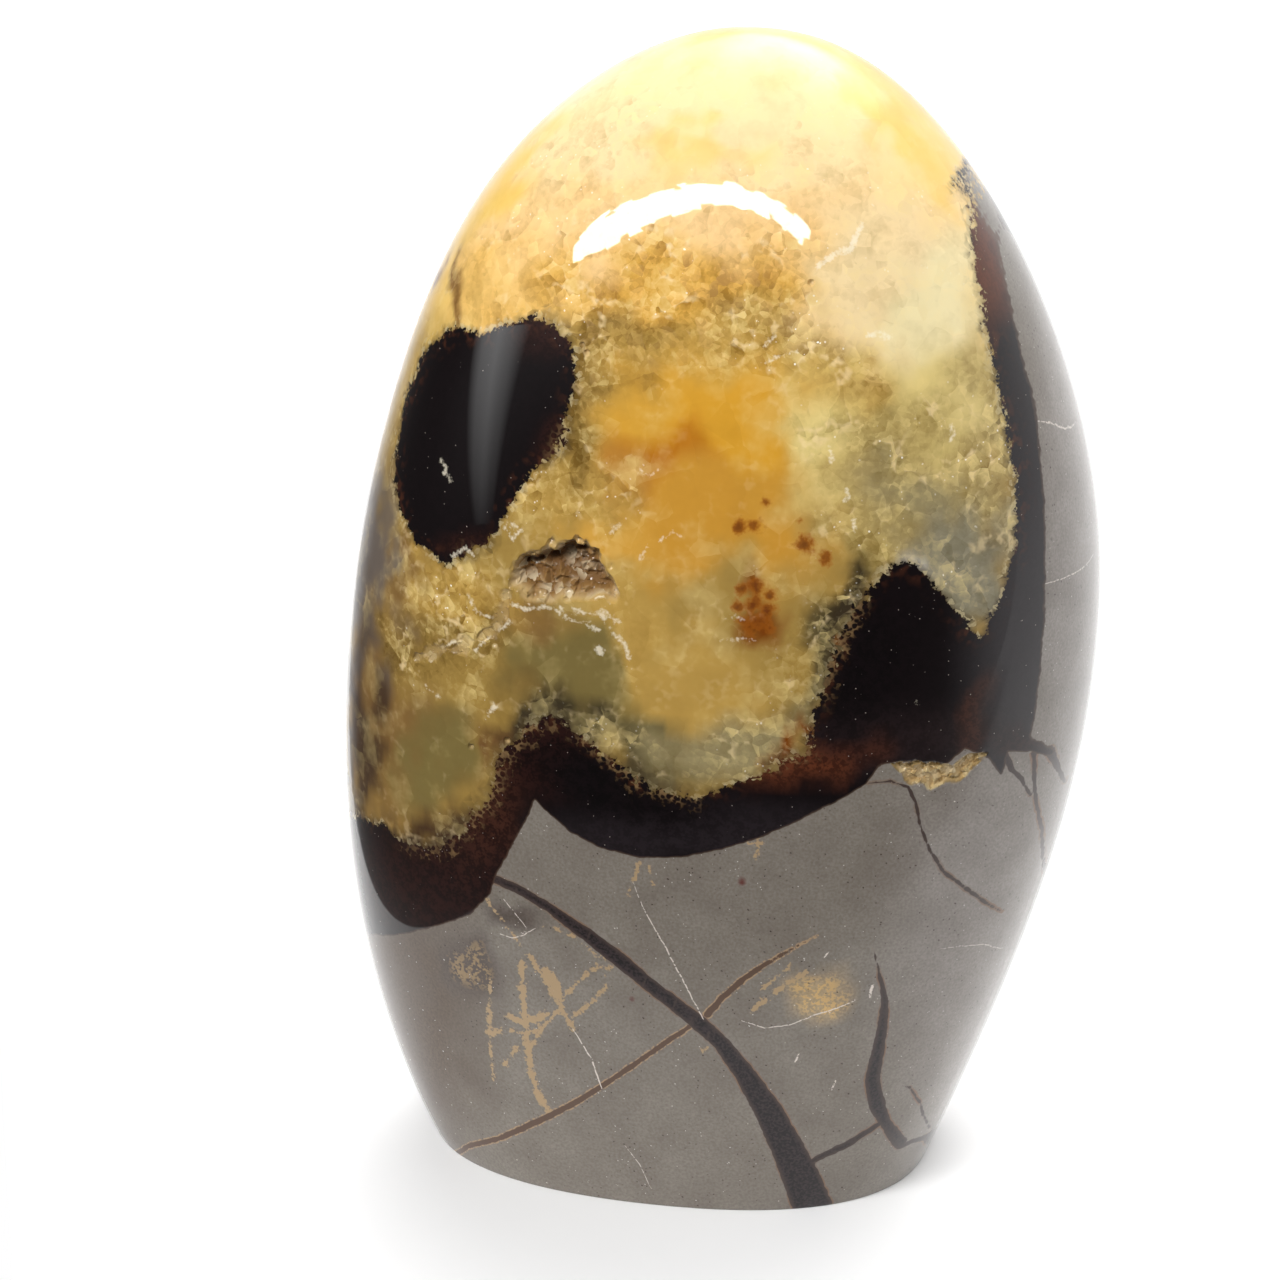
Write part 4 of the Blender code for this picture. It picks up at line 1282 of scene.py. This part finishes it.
floor_form = bmesh.new()
bmesh.ops.create_grid(floor_form, x_segments=1, y_segments=1, size=1.0)
for vert in floor_form.verts:
    corners = TABLE_REAR_CORNERS if vert.co.y > 0 else TABLE_FRONT_CORNERS
    vert.co.xy = corners[1] if vert.co.x > 0 else corners[0]
floor_mesh = bpy.data.meshes.new("floor")
floor_form.to_mesh(floor_mesh)
floor_form.free()
floor = bpy.data.objects.new("floor", floor_mesh)
bpy.context.scene.collection.objects.link(floor)

# The polish mirrors a table that darkens to the front and to the left. Seen itself, it is plain.
floor_material, nodes, links, floor_shader = new_material("pale_floor")
floor_place = nodes.new("ShaderNodeSeparateXYZ")
feed(floor_place.inputs["Vector"], nodes.new("ShaderNodeTexCoord").outputs["Object"])
front_tone = scaled(
    floor_place.outputs["Y"], TABLE_SHADE_TO, TABLE_SHADE_FROM,
    TABLE_SHADED_TONE, TABLE_TONE, "SMOOTHSTEP",
)
side_tone = scaled(
    floor_place.outputs["X"], TABLE_SIDE_FROM, TABLE_SIDE_TO, 0.0, TABLE_TONE, "SMOOTHSTEP",
)
plain_tone = times(nodes.new("ShaderNodeLightPath").outputs["Is Camera Ray"], TABLE_TONE)
floor_tone = arithmetic("MAXIMUM", arithmetic("MAXIMUM", front_tone, side_tone), plain_tone)
feed(floor_shader.inputs["Base Color"], floor_tone)
# Painted light: the table glows a little, which lightens its shadows and the light it throws back
# onto the stone.
feed(floor_shader.inputs["Emission Strength"], times(floor_tone, TABLE_GLOW))
floor_shader.inputs["Emission Color"].default_value = WHITE
floor_shader.inputs["Roughness"].default_value = 1.0
floor_shader.inputs["Specular IOR Level"].default_value = 0.0
floor_mesh.materials.append(floor_material)

# The room: its light grows towards the back right wall, and towards one patch of the ceiling.
WALL_DIRECTION = (0.6, 0.8, 0.0)
CEILING_DIRECTION = (0.05, 0.57, 0.82)

bpy.context.scene.view_settings.view_transform = "Standard"
world = bpy.data.worlds.new("white_room")
world.use_nodes = True
nodes = world.node_tree.nodes
links = world.node_tree.links
background = nodes["Background"]
direction = nodes.new("ShaderNodeTexCoord").outputs["Generated"]
to_wall = vector_arithmetic("DOT_PRODUCT", direction, WALL_DIRECTION, output="Value")
to_ceiling = vector_arithmetic("DOT_PRODUCT", direction, CEILING_DIRECTION, output="Value")
wall_light = scaled(to_wall, -0.15, 0.4, 0.06, 1.0, "SMOOTHSTEP")
ceiling_light = scaled(to_ceiling, 0.8, 1.0, 0.0, 4.5, "SMOOTHSTEP")
room_light = arithmetic("ADD", wall_light, ceiling_light)
seen_white = nodes.new("ShaderNodeLightPath").outputs["Is Camera Ray"]
feed(background.inputs["Strength"], arithmetic("MAXIMUM", seen_white, room_light))
background.inputs["Color"].default_value = WHITE
bpy.context.scene.world = world

# The two screens, each between two rows of directions from the stone's heart: azimuth from
# straight in front, positive to the right, and elevation, in degrees.
STONE_HEART = Vector((0.0, -25 * MM, 140 * MM))
ARCH_LOWER_EDGE = [
    (-47.5, 24.6), (-39.0, 27.7), (-29.9, 32.9), (-16.9, 38.8), (-7.3, 40.1), (1.6, 38.3),
    (9.0, 34.5), (13.0, 33.1),
]
ARCH_UPPER_EDGE = [
    (-51.0, 27.4), (-46.5, 33.0), (-35.2, 39.0), (-19.6, 44.6), (-8.5, 45.2), (4.0, 42.6),
    (12.0, 39.2), (15.5, 37.0),
]
ARCH_DISTANCE = 1400 * MM
ARCH_BRIGHTNESS = 34.0
ARCH_GLOW = [1.0] * len(ARCH_LOWER_EDGE)
ARCH_FADE = 1.0
SIDE_LOWER_EDGE = [(-56.0, -8.0), (-54.5, -7.9), (-53.0, -7.8), (-51.0, -7.7), (-49.0, -7.6)]
SIDE_UPPER_EDGE = [(-82.0, 10.0), (-75.0, 11.2), (-67.0, 12.5), (-60.0, 13.6), (-53.0, 14.6)]
SIDE_DISTANCE = 1200 * MM
SIDE_BRIGHTNESS = 4.6
SIDE_GLOW = [0.0, 0.7, 1.0, 0.6, 0.0]
SIDE_FADE = 0.1


def beam(azimuth, elevation):
    """Unit direction by its azimuth and its elevation."""
    turn = math.radians(azimuth)
    rise = math.radians(elevation)
    level = math.cos(rise)
    return Vector((math.sin(turn) * level, -math.cos(turn) * level, math.sin(rise)))


def light_screen(name, lower_edge, upper_edge, distance, brightness, glow_along, fade_below):
    """A screen that glows by a share for each column, and by a share of that at its lower edge."""
    corners = [STONE_HEART + distance * beam(*spot) for spot in (*lower_edge, *upper_edge)]
    columns = len(lower_edge)
    screen_form = bmesh.new()
    row = [screen_form.verts.new(corner) for corner in corners[:columns]]
    chain = [screen_form.edges.new(pair) for pair in zip(row, row[1:])]
    grown = bmesh.ops.extrude_edge_only(screen_form, edges=chain)["geom"]
    for vert in (item for item in grown if isinstance(item, bmesh.types.BMVert)):
        column = min(range(columns), key=lambda k: (row[k].co - vert.co).length)
        vert.co = corners[columns + column]
    glow_layer = screen_form.verts.layers.float.new("glow")
    for vert in screen_form.verts:
        step = min(range(2 * columns), key=lambda k: (corners[k] - vert.co).length)
        fade = fade_below if step < columns else 1.0
        vert[glow_layer] = glow_along[step % columns] * fade
    screen_mesh = bpy.data.meshes.new(name)
    screen_form.to_mesh(screen_mesh)
    screen_form.free()
    screen = bpy.data.objects.new(name, screen_mesh)
    bpy.context.scene.collection.objects.link(screen)
    glow_material, glow_nodes, glow_links, glow_shader = new_material(name)
    share = glow_nodes.new("ShaderNodeAttribute")
    share.attribute_name = "glow"
    strength = glow_nodes.new("ShaderNodeMath")
    strength.operation = "MULTIPLY"
    strength.inputs[1].default_value = brightness
    glow_links.new(share.outputs["Fac"], strength.inputs[0])
    glow_links.new(strength.outputs["Value"], glow_shader.inputs["Emission Strength"])
    glow_shader.inputs["Emission Color"].default_value = WHITE
    glow_shader.inputs["Base Color"].default_value = BLACK
    glow_shader.inputs["Specular IOR Level"].default_value = 0.0
    screen_mesh.materials.append(glow_material)
    screen.visible_camera = False


light_screen(
    "arch_light", ARCH_LOWER_EDGE, ARCH_UPPER_EDGE, ARCH_DISTANCE, ARCH_BRIGHTNESS,
    ARCH_GLOW, ARCH_FADE,
)
light_screen(
    "side_light", SIDE_LOWER_EDGE, SIDE_UPPER_EDGE, SIDE_DISTANCE, SIDE_BRIGHTNESS,
    SIDE_GLOW, SIDE_FADE,
)
